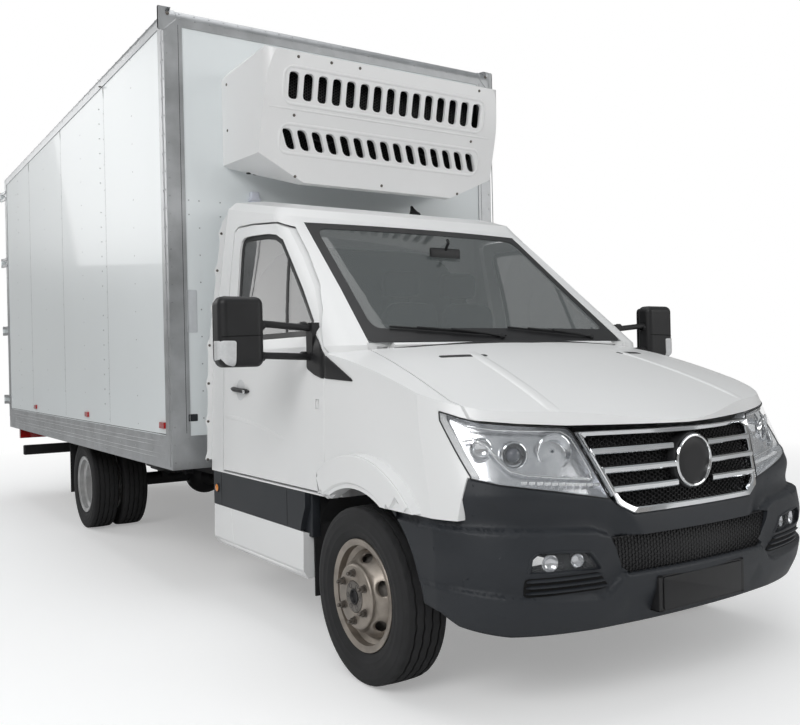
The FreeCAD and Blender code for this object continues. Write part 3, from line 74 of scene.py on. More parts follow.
def add_camera():
    """The photograph's viewpoint."""
    data = bpy.data.cameras.new("camera")
    cam = bpy.data.objects.new("camera", data)
    bpy.context.scene.collection.objects.link(cam)
    forward = Vector((-math.cos(YAW), -math.sin(YAW), 0))
    side = forward.cross(Vector((0, 0, 1)))
    down = forward.cross(side)
    right = side * math.cos(ROLL) + down * math.sin(ROLL)
    up = side * math.sin(ROLL) - down * math.cos(ROLL)
    matrix = Matrix((right, up, -forward)).transposed().to_4x4()
    matrix.translation = Vector(EYE)
    cam.matrix_world = matrix
    data.sensor_width = SENSOR
    data.lens = SENSOR * FOCAL_PIXELS / PHOTO_WIDTH
    data.clip_end = 200
    bpy.context.scene.camera = cam


def add_light(name, place, aim, size, power):
    """One soft rectangular lamp."""
    data = bpy.data.lights.new(name, "AREA")
    data.shape = "RECTANGLE"
    data.size, data.size_y = size
    data.energy = power
    lamp = bpy.data.objects.new(name, data)
    lamp.location = place
    lamp.rotation_euler = (Vector(aim) - Vector(place)).to_track_quat("-Z", "Y").to_euler()
    bpy.context.scene.collection.objects.link(lamp)


def fresh_tree(owner):
    """A world's or a material's node tree, emptied, and the function that links its sockets."""
    owner.use_nodes = True
    owner.node_tree.nodes.clear()
    return owner.node_tree, owner.node_tree.links.new


def node(tree, kind, **values):
    """A shader node with some sockets set; an underscore stands for the space in a socket's name."""
    made = tree.nodes.new("ShaderNode" + kind)
    for socket, value in values.items():
        made.inputs[socket.replace("_", " ")].default_value = value
    return made


def add_world():
    """A soft grey surround that the camera sees as plain white."""
    world = bpy.data.worlds.new("studio")
    bpy.context.scene.world = world
    tree, link = fresh_tree(world)
    out = node(tree, "OutputWorld")
    mix = node(tree, "MixShader")
    light = node(tree, "Background", Strength=0.5)
    seen = node(tree, "Background", Color=(1, 1, 1, 1), Strength=1.0)
    split = node(tree, "SeparateXYZ")
    ramp = node(tree, "ValToRGB")
    link(node(tree, "TexCoord").outputs["Generated"], split.inputs[0])
    link(split.outputs["Z"], ramp.inputs[0])
    stops = ramp.color_ramp.elements
    stops[0].position, stops[0].color = 0.0, (0.62, 0.60, 0.58, 1)
    stops[1].position, stops[1].color = 1.0, (0.95, 0.97, 1.0, 1)
    for place, colour in ((0.42, (0.42, 0.43, 0.42, 1)), (0.56, (0.60, 0.63, 0.64, 1))):
        stops.new(place).color = colour
    link(ramp.outputs["Color"], light.inputs["Color"])
    link(node(tree, "LightPath").outputs["Is Camera Ray"], mix.inputs[0])
    link(light.outputs[0], mix.inputs[1])
    link(seen.outputs[0], mix.inputs[2])
    link(mix.outputs[0], out.inputs[0])


def add_floor(material):
    """A plain pale floor."""
    mesh = bpy.data.meshes.new("floor")
    reach = 60
    mesh.from_pydata([(a * reach, b * reach, 0) for a, b in ((-1, -1), (1, -1), (1, 1), (-1, 1))], [], [(0, 1, 2, 3)])
    floor = bpy.data.objects.new("floor", mesh)
    bpy.context.scene.collection.objects.link(floor)
    floor.data.materials.append(material)


# Materials

def material(name, colour, rough, metal=0.0, coat=0.0, spread=0.06, scale=6.0, bump=0.0, bump_scale=200.0,
             rough_spread=0.08, coat_rough=0.05, alpha=1.0, sheen=0.0):
    """A surface whose colour, roughness and relief vary by noise in the object's own space."""
    made = bpy.data.materials.new(name)
    tree, link = fresh_tree(made)
    out = node(tree, "OutputMaterial")
    shader = node(tree, "BsdfPrincipled", Metallic=metal, Coat_Weight=coat, Coat_Roughness=coat_rough, IOR=1.45,
                  Alpha=alpha, Sheen_Weight=sheen)
    coords = node(tree, "TexCoord")
    noise = node(tree, "TexNoise", Scale=scale, Detail=4)
    link(coords.outputs["Object"], noise.inputs["Vector"])
    ramp = node(tree, "ValToRGB")
    for stop, place, tone in zip(ramp.color_ramp.elements, (0.3, 0.7), (1 - spread, 1 + spread)):
        stop.position, stop.color = place, (*[min(1, c * tone) for c in colour], 1)
    link(noise.outputs["Fac"], ramp.inputs[0])
    link(ramp.outputs["Color"], shader.inputs["Base Color"])
    gloss = node(tree, "MapRange", To_Min=max(0.02, rough - rough_spread), To_Max=min(1, rough + rough_spread))
    link(noise.outputs["Fac"], gloss.inputs["Value"])
    link(gloss.outputs["Result"], shader.inputs["Roughness"])
    if bump:
        grain = node(tree, "TexNoise", Scale=bump_scale, Detail=3)
        link(coords.outputs["Object"], grain.inputs["Vector"])
        relief = node(tree, "Bump", Strength=bump, Distance=0.001)
        link(grain.outputs["Fac"], relief.inputs["Height"])
        link(relief.outputs["Normal"], shader.inputs["Normal"])
    link(shader.outputs[0], out.inputs["Surface"])
    return made


def floor_material():
    """Near white; brighter to the camera than to the object, so that only its shadow shows."""
    made = bpy.data.materials.new("floor_pale")
    tree, link = fresh_tree(made)
    out = node(tree, "OutputMaterial")
    shader = node(tree, "BsdfPrincipled", Roughness=0.9)
    ramp = node(tree, "ValToRGB")
    for stop, grey in zip(ramp.color_ramp.elements, (0.80, 0.84)):
        stop.color = (grey, grey, grey, 1)
    link(node(tree, "TexNoise", Scale=0.6).outputs["Fac"], ramp.inputs[0])
    link(ramp.outputs["Color"], shader.inputs["Base Color"])
    glow = node(tree, "Emission", Color=(1, 1, 1, 1))
    path = node(tree, "LightPath")
    lift = node(tree, "MapRange", To_Min=0.0, To_Max=0.30)
    link(path.outputs["Is Camera Ray"], lift.inputs["Value"])
    link(lift.outputs["Result"], glow.inputs["Strength"])
    add = node(tree, "AddShader")
    link(shader.outputs[0], add.inputs[0])
    link(glow.outputs[0], add.inputs[1])
    far = node(tree, "Emission", Color=(1, 1, 1, 1), Strength=1.0)
    length = node(tree, "VectorMath")
    length.operation = "LENGTH"
    fade = node(tree, "MapRange", From_Min=3.5, From_Max=9.0)
    seen = node(tree, "Math")
    seen.operation = "MULTIPLY"
    blend = node(tree, "MixShader")
    link(node(tree, "TexCoord").outputs["Object"], length.inputs[0])
    link(length.outputs["Value"], fade.inputs["Value"])
    link(fade.outputs["Result"], seen.inputs[0])
    link(path.outputs["Is Camera Ray"], seen.inputs[1])
    link(seen.outputs[0], blend.inputs[0])
    link(add.outputs[0], blend.inputs[1])
    link(far.outputs[0], blend.inputs[2])
    link(blend.outputs[0], out.inputs["Surface"])
    return made


bpy.context.scene.view_settings.view_transform = "Standard"
add_camera()
add_world()
add_floor(floor_material())
add_light("key", (7.5, -7.5, 6.5), (1.5, 0, 1.3), (6, 4), 400)
add_light("fill", (9.5, 5.5, 4.0), (2.5, 0, 1.2), (5, 4), 150)
add_light("top", (0.0, 0.0, 9.0), (0, 0, 0), (9, 5), 200)
add_light("back", (-8.5, -5.0, 5.0), (-2, 0, 1.5), (5, 4), 150)

# Finish, material name, colour, then material's further arguments in their order
MAT = {finish: material(*rest) for finish, *rest in (
    ("white", "white_paint", (0.86, 0.865, 0.865), 0.36, 0, 0.35, 0.012, 1.5, 0.02, 90, 0.04, 0.18),
    ("panel", "white_skin", (0.8, 0.84, 0.85), 0.34, 0, 0.2, 0.015, 0.8, 0.03, 6, 0.05),
    ("cooler", "cooler_plastic", (0.84, 0.84, 0.84), 0.36, 0, 0.25, 0.012, 2, 0.03, 120),
    ("alu", "anodised_rail", (0.45, 0.46, 0.47), 0.42, 0.85, 0, 0.12, 9, 0.08, 260, 0.12),
    ("dark", "dark_plastic", (0.02, 0.023, 0.028), 0.5, 0, 0, 0.1, 5, 0.25, 900),
    ("black", "black_plastic", (0.012, 0.012, 0.013), 0.45, 0, 0, 0.15, 8, 0.15, 700),
    ("rubber", "black_rubber", (0.016, 0.016, 0.017), 0.8, 0, 0, 0.2, 12, 0.3, 300),
    ("tyre", "tyre_rubber", (0.018, 0.018, 0.019), 0.74, 0, 0, 0.25, 14, 0.3, 260),
    ("rim_front", "worn_silver", (0.36, 0.32, 0.28), 0.42, 0.75, 0, 0.22, 16, 0.2, 120, 0.14),
    ("rim_rear", "silver_paint", (0.55, 0.55, 0.55), 0.38, 0.5, 0, 0.15, 14, 0.12, 120, 0.1),
    ("chassis", "chassis_black", (0.014, 0.014, 0.016), 0.5, 0, 0, 0.3, 10, 0.25, 150),
    ("engine", "cast_grey", (0.12, 0.12, 0.125), 0.7, 0.4, 0, 0.25, 18, 0.5, 180),
    ("glass", "window_glass", (0.17, 0.19, 0.19), 0.03, 0, 1, 0.02, 6, 0, 200, 0.01, 0.02, 0.36),
    ("lens", "lamp_lens", (0.8, 0.84, 0.88), 0.04, 0, 1, 0.02, 6, 0, 200, 0.01, 0.02, 0.06),
    ("red", "red_lens", (0.42, 0.012, 0.012), 0.2, 0, 0.9, 0.12, 60, 0.3, 500),
    ("chrome", "bright_chrome", (0.78, 0.79, 0.8), 0.09, 1, 0, 0.03, 12, 0, 200, 0.04),
    ("fabric", "seat_fabric", (0.035, 0.037, 0.043), 0.9, 0, 0, 0.3, 220, 0.6, 1400, 0.08, 0.05, 1, 0.3),
    ("interior", "dash_grey", (0.05, 0.05, 0.052), 0.7, 0, 0, 0.1, 9, 0.3, 1000),
    ("ply", "floor_ply", (0.12, 0.085, 0.06), 0.6, 0, 0, 0.35, 40, 0.2, 300),
    ("nut", "worn_steel", (0.16, 0.145, 0.13), 0.42, 0.8, 0, 0.3, 60, 0.3, 300),
    ("hub", "hub_grey", (0.19, 0.175, 0.16), 0.55, 0.5, 0, 0.3, 30, 0.4, 160),
    ("gloss_black", "gloss_black", (0.01, 0.01, 0.011), 0.14, 0, 0.8, 0.1, 10),
    ("pit", "deep_shadow", (0.005, 0.005, 0.005), 0.9, 0, 0, 0.1, 10),
    ("reflector", "silver_bowl", (0.7, 0.71, 0.73), 0.22, 0.85, 0, 0.06, 30, 0, 200, 0.1),
    ("bulb", "clear_moulding", (0.86, 0.87, 0.88), 0.12, 0, 0.8, 0.05, 80, 0.5, 420, 0.08, 0.05, 0.75),
    ("amber", "amber_lens", (0.8, 0.25, 0.02), 0.2, 0, 0.8, 0.12, 60, 0.3, 500),
    ("mirror", "mirror_glass", (0.8, 0.82, 0.83), 0.03, 1, 0, 0.01, 5, 0, 200, 0.01),
    ("rivet", "rivet_heads", (0.42, 0.43, 0.44), 0.4, 0.8, 0, 0.2, 40),
    ("placard", "placard_grey", (0.6, 0.62, 0.64), 0.5, 0, 0, 0.04, 30),
    ("conduit", "pale_conduit", (0.66, 0.68, 0.76), 0.5, 0, 0, 0.04, 8, 0.1, 90),
    ("dark_glass", "projector_glass", (0.05, 0.055, 0.07), 0.05, 0, 1, 0.2, 40),
    ("side_glass", "tinted_glass", (0.018, 0.022, 0.022), 0.03, 0, 1, 0.02, 6, 0, 200, 0.01, 0.02, 0.6),
    ("pit_plastic", "liner_black", (0.01, 0.01, 0.011), 0.85, 0, 0, 0.2, 12, 0.3),
    # shade: light grey, darker than the white paint; painted shade in the handle dish's hollow
    ("shade", "white_dish", (0.7, 0.71, 0.72), 0.32, 0, 0.6, 0.02, 2),
)}

# The finish of a CAD node's slot, and the slot of a finish
BY_SLOT = {
    "tyre": "tyre", "wheel_front": "rim_front", "wheel_rear": "rim_rear", "chassis_black": "chassis",
    "engine_grey": "engine", "cab_white": "white", "dark_plastic": "dark", "black_plastic": "black",
    "rubber_flap": "rubber", "glass": "glass", "lamp_clear": "lens", "lamp_red": "red",
    "grille_chrome": "chrome", "seat_fabric": "fabric", "interior_grey": "interior",
    "panel_white": "panel", "floor_ply": "ply", "aluminium": "alu", "cooler_white": "cooler",
}
SLOT_OF = {finish: slot for slot, finish in BY_SLOT.items()}
SLOT_OF.update(shade="cab_white", pit="black_plastic", pit_plastic="black_plastic", gloss_black="black_plastic",
               reflector="grille_chrome", mirror="glass", bulb="lamp_clear", dark_glass="lamp_clear",
               amber="lamp_red", rivet="aluminium", nut="aluminium", placard="panel_white",
               conduit="panel_white", hub="wheel_front")

SPECIAL = {"door_glass_left": "side_glass", "door_glass_right": "side_glass"}
for part in frame["record"]["subparts"]:
    shown = nodes[part["node"]]
    shown.data.materials.clear()
    shown.data.materials.append(MAT[SPECIAL.get(part["node"], BY_SLOT[part["material_slot"]])])


def turns(count, offset=0.0):
    """The (cosine, sine) of even steps round a full turn."""
    angles = [2 * math.pi * (k + offset) / count for k in range(count)]
    return [(math.cos(a), math.sin(a)) for a in angles]


class Form:
    """Points and faces that become one piece of the scene."""

    def __init__(self):
        self.verts = []
        self.faces = []

    def grid(self, rows, around=False, closed=False):
        """Rows of equally many points, joined by faces."""
        base = len(self.verts)
        count = len(rows[0])
        for row in rows:
            self.verts.extend(Vector(p) for p in row)
        for r in range(len(rows) if closed else len(rows) - 1):
            here = base + r * count
            there = base + (r + 1) % len(rows) * count
            for c in range(count if around else count - 1):
                d = (c + 1) % count
                self.faces.append((here + c, here + d, there + d, there + c))

    def loft(self, rows):
        """Closed sections joined into a bar with filled ends."""
        self.grid(rows, around=True)
        self.fill(rows[0])
        self.fill(rows[-1])

    def fill(self, points):
        """One flat face."""
        base = len(self.verts)
        self.verts.extend(Vector(p) for p in points)
        self.faces.append(tuple(range(base, base + len(points))))

    def prism(self, outline, shift, bevel=0.0):
        """A flat outline pushed along shift, its two rims rounded by bevel."""
        outline = [Vector(p) for p in outline]
        shift = Vector(shift)
        if bevel:
            way = shift.normalized() * bevel
            tight = inset(outline, bevel)
            soft = inset(outline, bevel * 0.3)
            rows = [tight, [p + way * 0.3 for p in soft], [p + way for p in outline],
                    [p + shift - way for p in outline], [p + shift - way * 0.3 for p in soft],
                    [p + shift for p in tight]]
        else:
            rows = [outline, [p + shift for p in outline]]
        self.loft(rows)

    def block(self, low, high, bevel=0.003):
        """A block with rounded edges."""
        (x0, y0, z0), (x1, y1, z1) = low, high
        base = rounded([(x0, y0, z0), (x1, y0, z0), (x1, y1, z0), (x0, y1, z0)], bevel, 3)
        self.prism(base, (0, 0, z1 - z0), bevel)

    def lathe(self, profile, centre, axis, steps=32):
        """Turns (along, radius) points about an axis."""
        centre, axis = Vector(centre), Vector(axis).normalized()
        u = axis.orthogonal().normalized()
        v = axis.cross(u)
        outs = [u * c + v * s for c, s in turns(steps)]
        self.grid([[centre + axis * a + out * r for a, r in profile] for out in outs], closed=True)

    def tube(self, path, radius, sides=10, closed=False):
        """A round bar along a path."""
        path = [Vector(p) for p in path]
        rows = []
        normal = None
        count = len(path)
        for i, p in enumerate(path):
            after = path[(i + 1) % count] if closed or i < count - 1 else path[i]
            before = path[i - 1] if closed or i else path[i]
            way = (after - before).normalized()
            if normal is None:
                normal = way.orthogonal().normalized()
            normal = (normal - way * normal.dot(way)).normalized()
            other = way.cross(normal)
            rows.append([p + normal * radius * c + other * radius * s for c, s in turns(sides)])
        self.grid(rows, around=True, closed=closed)
        if not closed:
            self.fill(rows[0])
            self.fill(rows[-1])

    def dome(self, place, normal, radius, height, sides=8):
        """A rivet or screw head."""
        self.lathe([(-0.001, radius), (height * 0.5, radius * 0.95), (height * 0.9, radius * 0.6), (height, 0)],
                   place, normal, sides)

    def hexagon(self, place, normal, across, height):
        """A hexagonal nut."""
        axis = Vector(normal).normalized()
        u = axis.orthogonal().normalized()
        v = axis.cross(u)
        place = Vector(place)
        ring = [place + (u * c + v * s) * across / 2 for c, s in turns(6)]
        self.prism(ring, axis * height, across * 0.06)

    def make(self, name, finish, body="chassis", **more):
        """Turns the form into a named object that rides on a body."""
        mesh = bpy.data.meshes.new(name)
        mesh.from_pydata([tuple(v) for v in self.verts], [], self.faces)
        work = bmesh.new()
        work.from_mesh(mesh)
        bmesh.ops.remove_doubles(work, verts=work.verts, dist=0.00002)
        bmesh.ops.dissolve_degenerate(work, dist=0.00001, edges=work.edges)
        bmesh.ops.recalc_face_normals(work, faces=work.faces)
        work.to_mesh(mesh)
        work.free()
        return present(mesh, name, finish, body, **more)


def present(mesh, name, finish, body="chassis", slot="", angle=38, replaces=(), smooth=True):
    """Puts a mesh into the scene with its finish and its body; the slot, given or the finish's own, is worked out but
    not stored.
    """
    mesh.polygons.foreach_set("use_smooth", [smooth] * len(mesh.polygons))
    if smooth:
        mesh.set_sharp_from_angle(angle=math.radians(angle))
    piece = bpy.data.objects.new(name, mesh)
    bpy.context.scene.collection.objects.link(piece)
    mesh.materials.clear()
    mesh.materials.append(MAT[finish])
    slot = slot or SLOT_OF[finish]
    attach(piece, body)
    if replaces:
        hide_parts(*replaces)
    return piece


def plane_normal(points):
    """The unit normal of a nearly flat outline."""
    total = Vector((0, 0, 0))
    for i, p in enumerate(points):
        total += Vector(p).cross(Vector(points[(i + 1) % len(points)]))
    return total.normalized()


def inset(points, distance):
    """The outline moved inwards."""
    points = [Vector(p) for p in points]
    normal = plane_normal(points)
    moved = []
    for i, p in enumerate(points):
        a = (p - points[i - 1]).normalized()
        b = (points[(i + 1) % len(points)] - p).normalized()
        m = normal.cross(a) + normal.cross(b)
        m = m.normalized() if m.length > 1e-6 else normal.cross(a)
        moved.append(p + m * distance / max(0.4, m.dot(normal.cross(a))))
    return moved


def rounded(points, radius, steps=4):
    """The outline with its corners rounded."""
    points = [Vector(p) for p in points]
    soft = []
    for i, p in enumerate(points):
        a = points[i - 1] - p
        b = points[(i + 1) % len(points)] - p
        reach = min(radius, a.length * 0.45, b.length * 0.45)
        start, end = p + a.normalized() * reach, p + b.normalized() * reach
        for k in range(steps + 1):
            t = k / steps
            soft.append(start * (1 - t) ** 2 + p * 2 * t * (1 - t) + end * t ** 2)
    return soft


def spaced(points, count, closed=True):
    """Points at even spacing along a line."""
    points = [Vector(p) for p in points]
    if closed:
        points = points + [points[0]]
    lengths = [0]
    for a, b in zip(points, points[1:]):
        lengths.append(lengths[-1] + (b - a).length)
    found = []
    seek = 0
    for k in range(count):
        want = lengths[-1] * k / (count if closed else count - 1)
        while seek < len(lengths) - 2 and lengths[seek + 1] < want:
            seek += 1
        span = lengths[seek + 1] - lengths[seek]
        t = min(1, (want - lengths[seek]) / span) if span else 0
        found.append(points[seek].lerp(points[seek + 1], t))
    return found


def skin(*names):
    """The surface of some nodes, for laying thin pieces on them."""
    verts, faces = [], []
    for name in names:
        shown = nodes[name]
        base = len(verts)
        place = shown.matrix_world
        verts += [place @ v.co for v in shown.data.vertices]
        faces += [tuple(base + i for i in f.vertices) for f in shown.data.polygons]
    return BVHTree.FromPolygons(verts, faces)


def skin_of(piece):
    """The surface of a piece made here."""
    return BVHTree.FromPolygons([v.co.copy() for v in piece.data.vertices],
                                [tuple(f.vertices) for f in piece.data.polygons])


def lay(surface, point, way, lift=0.0):
    """The place where a line along way first meets the surface, lifted off it, and the normal there."""
    way = Vector(way)
    point = Vector(point)
    place, normal = surface.ray_cast(point, way)[:2]
    if place is None:
        place, normal = surface.find_nearest(point + way * 3)[:2]
        if normal.dot(way) > 0:
            normal = -normal
        along = (place - point).dot(way)
        return point + way * along + normal * lift, normal
    if normal.dot(way) > 0:
        normal = -normal
    return place + normal * lift, normal


# Lines are cast at the surfaces from these distances, all outside the truck
AHEAD, ASIDE, ABOVE = 6, 3, 5
FROM_FRONT = Vector((-1, 0, 0))
FROM_TOP = Vector((0, 0, -1))


def lay_side(surface, side, x, z):
    """The surface's place and normal at (x, z), met from the side."""
    return lay(surface, (x, side * ASIDE, z), (0, -side, 0))


def lay_front(surface, y, z, lift=0.0):
    """The surface's place and normal at (y, z), met from the front."""
    return lay(surface, (AHEAD, y, z), FROM_FRONT, lift)


def seen_from(view, points):
    """Outline points as starts of lines: side views give (x, z), the front (y, z) and the top (x, y)."""
    if view == "front":
        return [Vector((AHEAD, a, b)) for a, b in points], FROM_FRONT
    if view == "top":
        return [Vector((a, b, ABOVE)) for a, b in points], FROM_TOP
    side = 1 if view == "left" else -1
    return [Vector((a, side * ASIDE, b)) for a, b in points], Vector((0, -side, 0))


def band(form, surface, view, outer, inner, lift=0.0015, count=96, cuts=3, sink=0.003):
    """A thin border between two outlines, laid on a surface."""
    outer, way = seen_from(view, outer)
    inner, way = seen_from(view, inner)
    rows = []
    for o, i in zip(spaced(outer, count), spaced(inner, count)):
        row = []
        for k in range(cuts + 1):
            place, normal = lay(surface, o.lerp(i, k / cuts), way)
            if k == 0:
                row.append(place - normal * sink)
            row.append(place + normal * lift)
            if k == cuts:
                row.append(place - normal * sink)
        rows.append(row)
    form.grid(rows, closed=True)


def cover(form, surface, view, outline, lift=0.002, count=64, cuts=5, sink=0.003, soft=0.25):
    """A thin patch laid on a surface, its rim turned down into it."""
    outline, way = seen_from(view, outline)
    outline = spaced(outline, count)
    middle = sum(outline, Vector((0, 0, 0))) / len(outline)
    rows = []
    for o in outline:
        row = []
        for k in range(cuts + 1):
            t = k / cuts
            place, normal = lay(surface, o.lerp(middle, t), way)
            if k == 0:
                row.append(place - normal * sink)
                row.append(place + normal * lift * (1 - soft))
                inner, turned = lay(surface, o.lerp(middle, 0.03), way)
                row.append(inner + turned * lift)
            else:
                row.append(place + normal * lift)
        rows.append(row)
    form.grid(rows, closed=True)


def ridge(form, surface, view, path, half, lift, count=40, sink=0.002):
    """A low moulding along a path on a surface."""
    starts, way = seen_from(view, path)
    starts = spaced(starts, count, closed=False)
    rows = []
    for i, p in enumerate(starts):
        along = (starts[min(i + 1, count - 1)] - starts[max(i - 1, 0)]).normalized()
        across = along.cross(way).normalized()
        row = []
        taper = min(1, (i + 0.2) / (count * 0.12), (count - 0.8 - i) / (count * 0.12))
        for shift, up in ((-1, -sink), (-0.75, lift * 0.7), (-0.3, lift), (0.3, lift), (0.75, lift * 0.7),
                          (1, -sink)):
            place, normal = lay(surface, p + across * half * shift, way)
            row.append(place + normal * (up * taper if up > 0 else up))
        rows.append(row)
    form.grid(rows)


def circle(a, b, radius, count=32, squash=1.0):
    """An outline round (a, b)."""
    return [(a + radius * c, b + radius * squash * s) for c, s in turns(count)]


def soft2(points, radius, steps=4):
    """A flat outline of pairs with rounded corners."""
    return [(p[0], p[1]) for p in rounded([(a, b, 0) for a, b in points], radius, steps)]


def shrink(points, distance):
    """A flat outline of pairs moved inwards."""
    return [(p[0], p[1]) for p in inset([(a, b, 0) for a, b in points], distance)]


def whole(half):
    """A front outline from its half on the positive side, listed from bottom to top."""
    return half + [(-a, b) for a, b in reversed(half)]


def spokes(count, offset=0.0):
    """Unit vectors round a wheel."""
    return [Vector((c, 0, s)) for c, s in turns(count, offset)]


# Wheels and tyres

GROOVES = (-0.054, -0.018, 0.018, 0.054)


def tread_profile():
    """A tyre's outside from bead to bead as (across, radius, ribbed)."""
    wall = [(-0.072, 0.2045), (-0.0745, 0.2215), (-0.080, 0.2265), (-0.0815, 0.2305), (-0.0865, 0.236),
            (-0.0925, 0.256), (-0.0935, 0.2585), (-0.0928, 0.261), (-0.0965, 0.281), (-0.0972, 0.283),
            (-0.0972, 0.291), (-0.0966, 0.293), (-0.0962, 0.306), (-0.0950, 0.318), (-0.0948, 0.3195),
            (-0.0935, 0.321), (-0.0915, 0.331), (-0.0885, 0.3385), (-0.0845, 0.3437)]
    points = [(a, r, 0) for a, r in wall]

    def crown(a):
        return 0.3497 - 0.0034 * (a / 0.0815) ** 2

    points.append((-0.0800, crown(0.080), 1))
    for middle in GROOVES:
        points.append((middle - 0.0048, crown(middle), 2))
        points.append((middle - 0.0035, crown(middle) - 0.0085, 2))
        points.append((middle + 0.0035, crown(middle) - 0.0085, 2))
        points.append((middle + 0.0048, crown(middle), 2))
    points.append((0.0800, crown(0.080), 1))
    points += [(-a, r, 0) for a, r in reversed(wall)]
    return points


def tyre(form, x, y):
    """One tyre about the wheel's centre, with zigzag grooves and notched shoulders."""
    profile = tread_profile()
    steps = 128
    rows = []
    for step in range(steps):
        angle = 2 * math.pi * step / steps
        weave = 0.0014 if step % 4 in (0, 1) else -0.0014
        notch = 0.003 if step % 4 == 0 else 0.0
        row = []
        for a, r, kind in profile:
            if kind == 2:
                a += weave
            if kind == 1:
                r -= notch
            row.append((x + r * math.cos(angle), y + a, AXLE_Z + r * math.sin(angle)))
        rows.append(row)
    form.grid(rows, closed=True)


for side_name, side in SIDES:
    for label, x, places, wheel in (("front_tyre", FRONT_AXLE, (FRONT_WHEEL_Y,), "front_wheel"),
                                    ("rear_tyres", REAR_AXLE, (REAR_OUTER_Y, REAR_INNER_Y), "rear_wheels")):
        form = Form()
        for place in places:
            tyre(form, x, side * place)
        form.make(label + "_treaded_" + side_name, "tyre", side_name + "_" + wheel, angle=30,
                  replaces=(label + "_" + side_name,))


def front_wheel(side_name, side):
    """The steered wheel: rim, disc with six oval hand holes, hub plate, nuts, hub and drum."""
    centre = Vector((FRONT_AXLE, side * FRONT_WHEEL_Y, AXLE_Z))
    out = Vector((0, side, 0))
    rim = Form()
    rim.lathe([(0.083, 0.221), (0.0805, 0.2225), (0.075, 0.221), (0.0735, 0.213), (0.072, 0.203), (0.045, 0.203),
               (0.033, 0.181), (-0.033, 0.181), (-0.045, 0.203), (-0.072, 0.203), (-0.075, 0.221),
               (-0.083, 0.221), (-0.081, 0.197), (-0.047, 0.195), (-0.035, 0.173), (0.035, 0.173),
               (0.047, 0.195), (0.0775, 0.196), (0.081, 0.209), (0.083, 0.221)], centre, out, 96)

    def face(radius):
        """How far the disc's outer face stands from the wheel's middle."""
        stops = [(0.055, 0.1125), (0.112, 0.1125), (0.122, 0.1105), (0.131, 0.103), (0.139, 0.092),
                 (0.152, 0.072), (0.166, 0.050), (0.1735, 0.040)]
        for (r0, a0), (r1, a1) in zip(stops, stops[1:]):
            if radius <= r1:
                t = max(0, (radius - r0) / (r1 - r0))
                return a0 + (a1 - a0) * t
        return stops[-1][1]

    def spot(radius, angle, depth=0.0):
        return centre + out * (face(radius) - depth) + Vector((radius * math.cos(angle), 0,
                                                               radius * math.sin(angle)))

    low, high = 0.131, 0.1735
    for sector in range(6):
        middle = math.radians(90 + side * (10 + 60 * sector))
        reach = math.radians(30)
        edge = ([(low, middle - reach + 2 * reach * k / 12) for k in range(12)]
                + [(low + (high - low) * k / 4, middle + reach) for k in range(4)]
                + [(high, middle + reach - 2 * reach * k / 12) for k in range(12)]
                + [(high - (high - low) * k / 4, middle - reach) for k in range(4)])
        hole = []
        for radius, angle in edge:
            turn = math.atan2((radius - 0.1525) * 9, (angle - middle) / reach)
            hole.append((0.1525 + 0.0145 * math.sin(turn), middle + math.radians(11.5) * math.cos(turn)))
        rows = [[spot(r, a) for r, a in edge]]
        rows += [[spot(r + (s - r) * t, a + (b - a) * t) for (r, a), (s, b) in zip(edge, hole)] for t in (0.6, 0.93)]
        rows += [[spot(r, a, depth) for r, a in ring]
                 for ring, depth in ((hole, 0.002), (hole, 0.010), (edge, 0.010))]
        rim.grid(rows, around=True)
    rim.lathe([(0.103, 0.131), (0.1105, 0.122), (0.1125, 0.117), (0.1125, 0.069), (0.1135, 0.0675),
               (0.1135, 0.064), (0.1125, 0.063), (0.1025, 0.063), (0.1025, 0.124), (0.093, 0.131),
               (0.103, 0.131)], centre, out, 72)
    rim.make("front_disc_" + side_name, "rim_front", side_name + "_front_wheel", angle=34,
             replaces=("front_wheel_" + side_name,))

    nuts = Form()
    for across in spokes(6, 0.5):
        foot = centre + out * 0.1125 + across * 0.094
        nuts.lathe([(0, 0.0165), (0.003, 0.0165), (0.004, 0.013), (0.004, 0.0)], foot, out, 20)
        nuts.hexagon(foot + out * 0.003, out, 0.026, 0.016)
        nuts.lathe([(0.018, 0.0072), (0.030, 0.0072), (0.0325, 0.0055), (0.0325, 0)], foot, out, 14)
    nuts.make("wheel_nuts_" + side_name, "nut", side_name + "_front_wheel", slot="wheel_front", angle=30)

    hub = Form()
    hub.lathe([(0.1005, 0.062), (0.1115, 0.0615), (0.1150, 0.060), (0.1160, 0.057), (0.1150, 0.034),
               (0.1120, 0.031), (0.1040, 0.029), (0.1020, 0.0), (0.095, 0.0), (0.095, 0.03), (-0.055, 0.03),
               (-0.055, 0.145), (-0.050, 0.148), (0.030, 0.148), (0.034, 0.140), (0.050, 0.120),
               (0.090, 0.105), (0.1005, 0.104), (0.1005, 0.062)], centre, out, 64)
    hub.make("front_hub_" + side_name, "hub", side_name + "_front_wheel", angle=30)
    # Black cups at the bores: painted shade standing in for the depth of the holes
    bores = Form()
    for across in spokes(6):
        bores.lathe([(0.1100, 0.0098), (0.1162, 0.0098), (0.1164, 0.0085), (0.1130, 0.0080), (0.1125, 0)],
                    centre + across * 0.0460, out, 20)
    bores.lathe([(0.1150, 0.030), (0.1168, 0.0295), (0.1165, 0.026), (0.1080, 0.022), (0.1060, 0.0)],
                centre, out, 40)
    bores.make("hub_bores_" + side_name, "black", side_name + "_front_wheel", slot="wheel_front", angle=30)


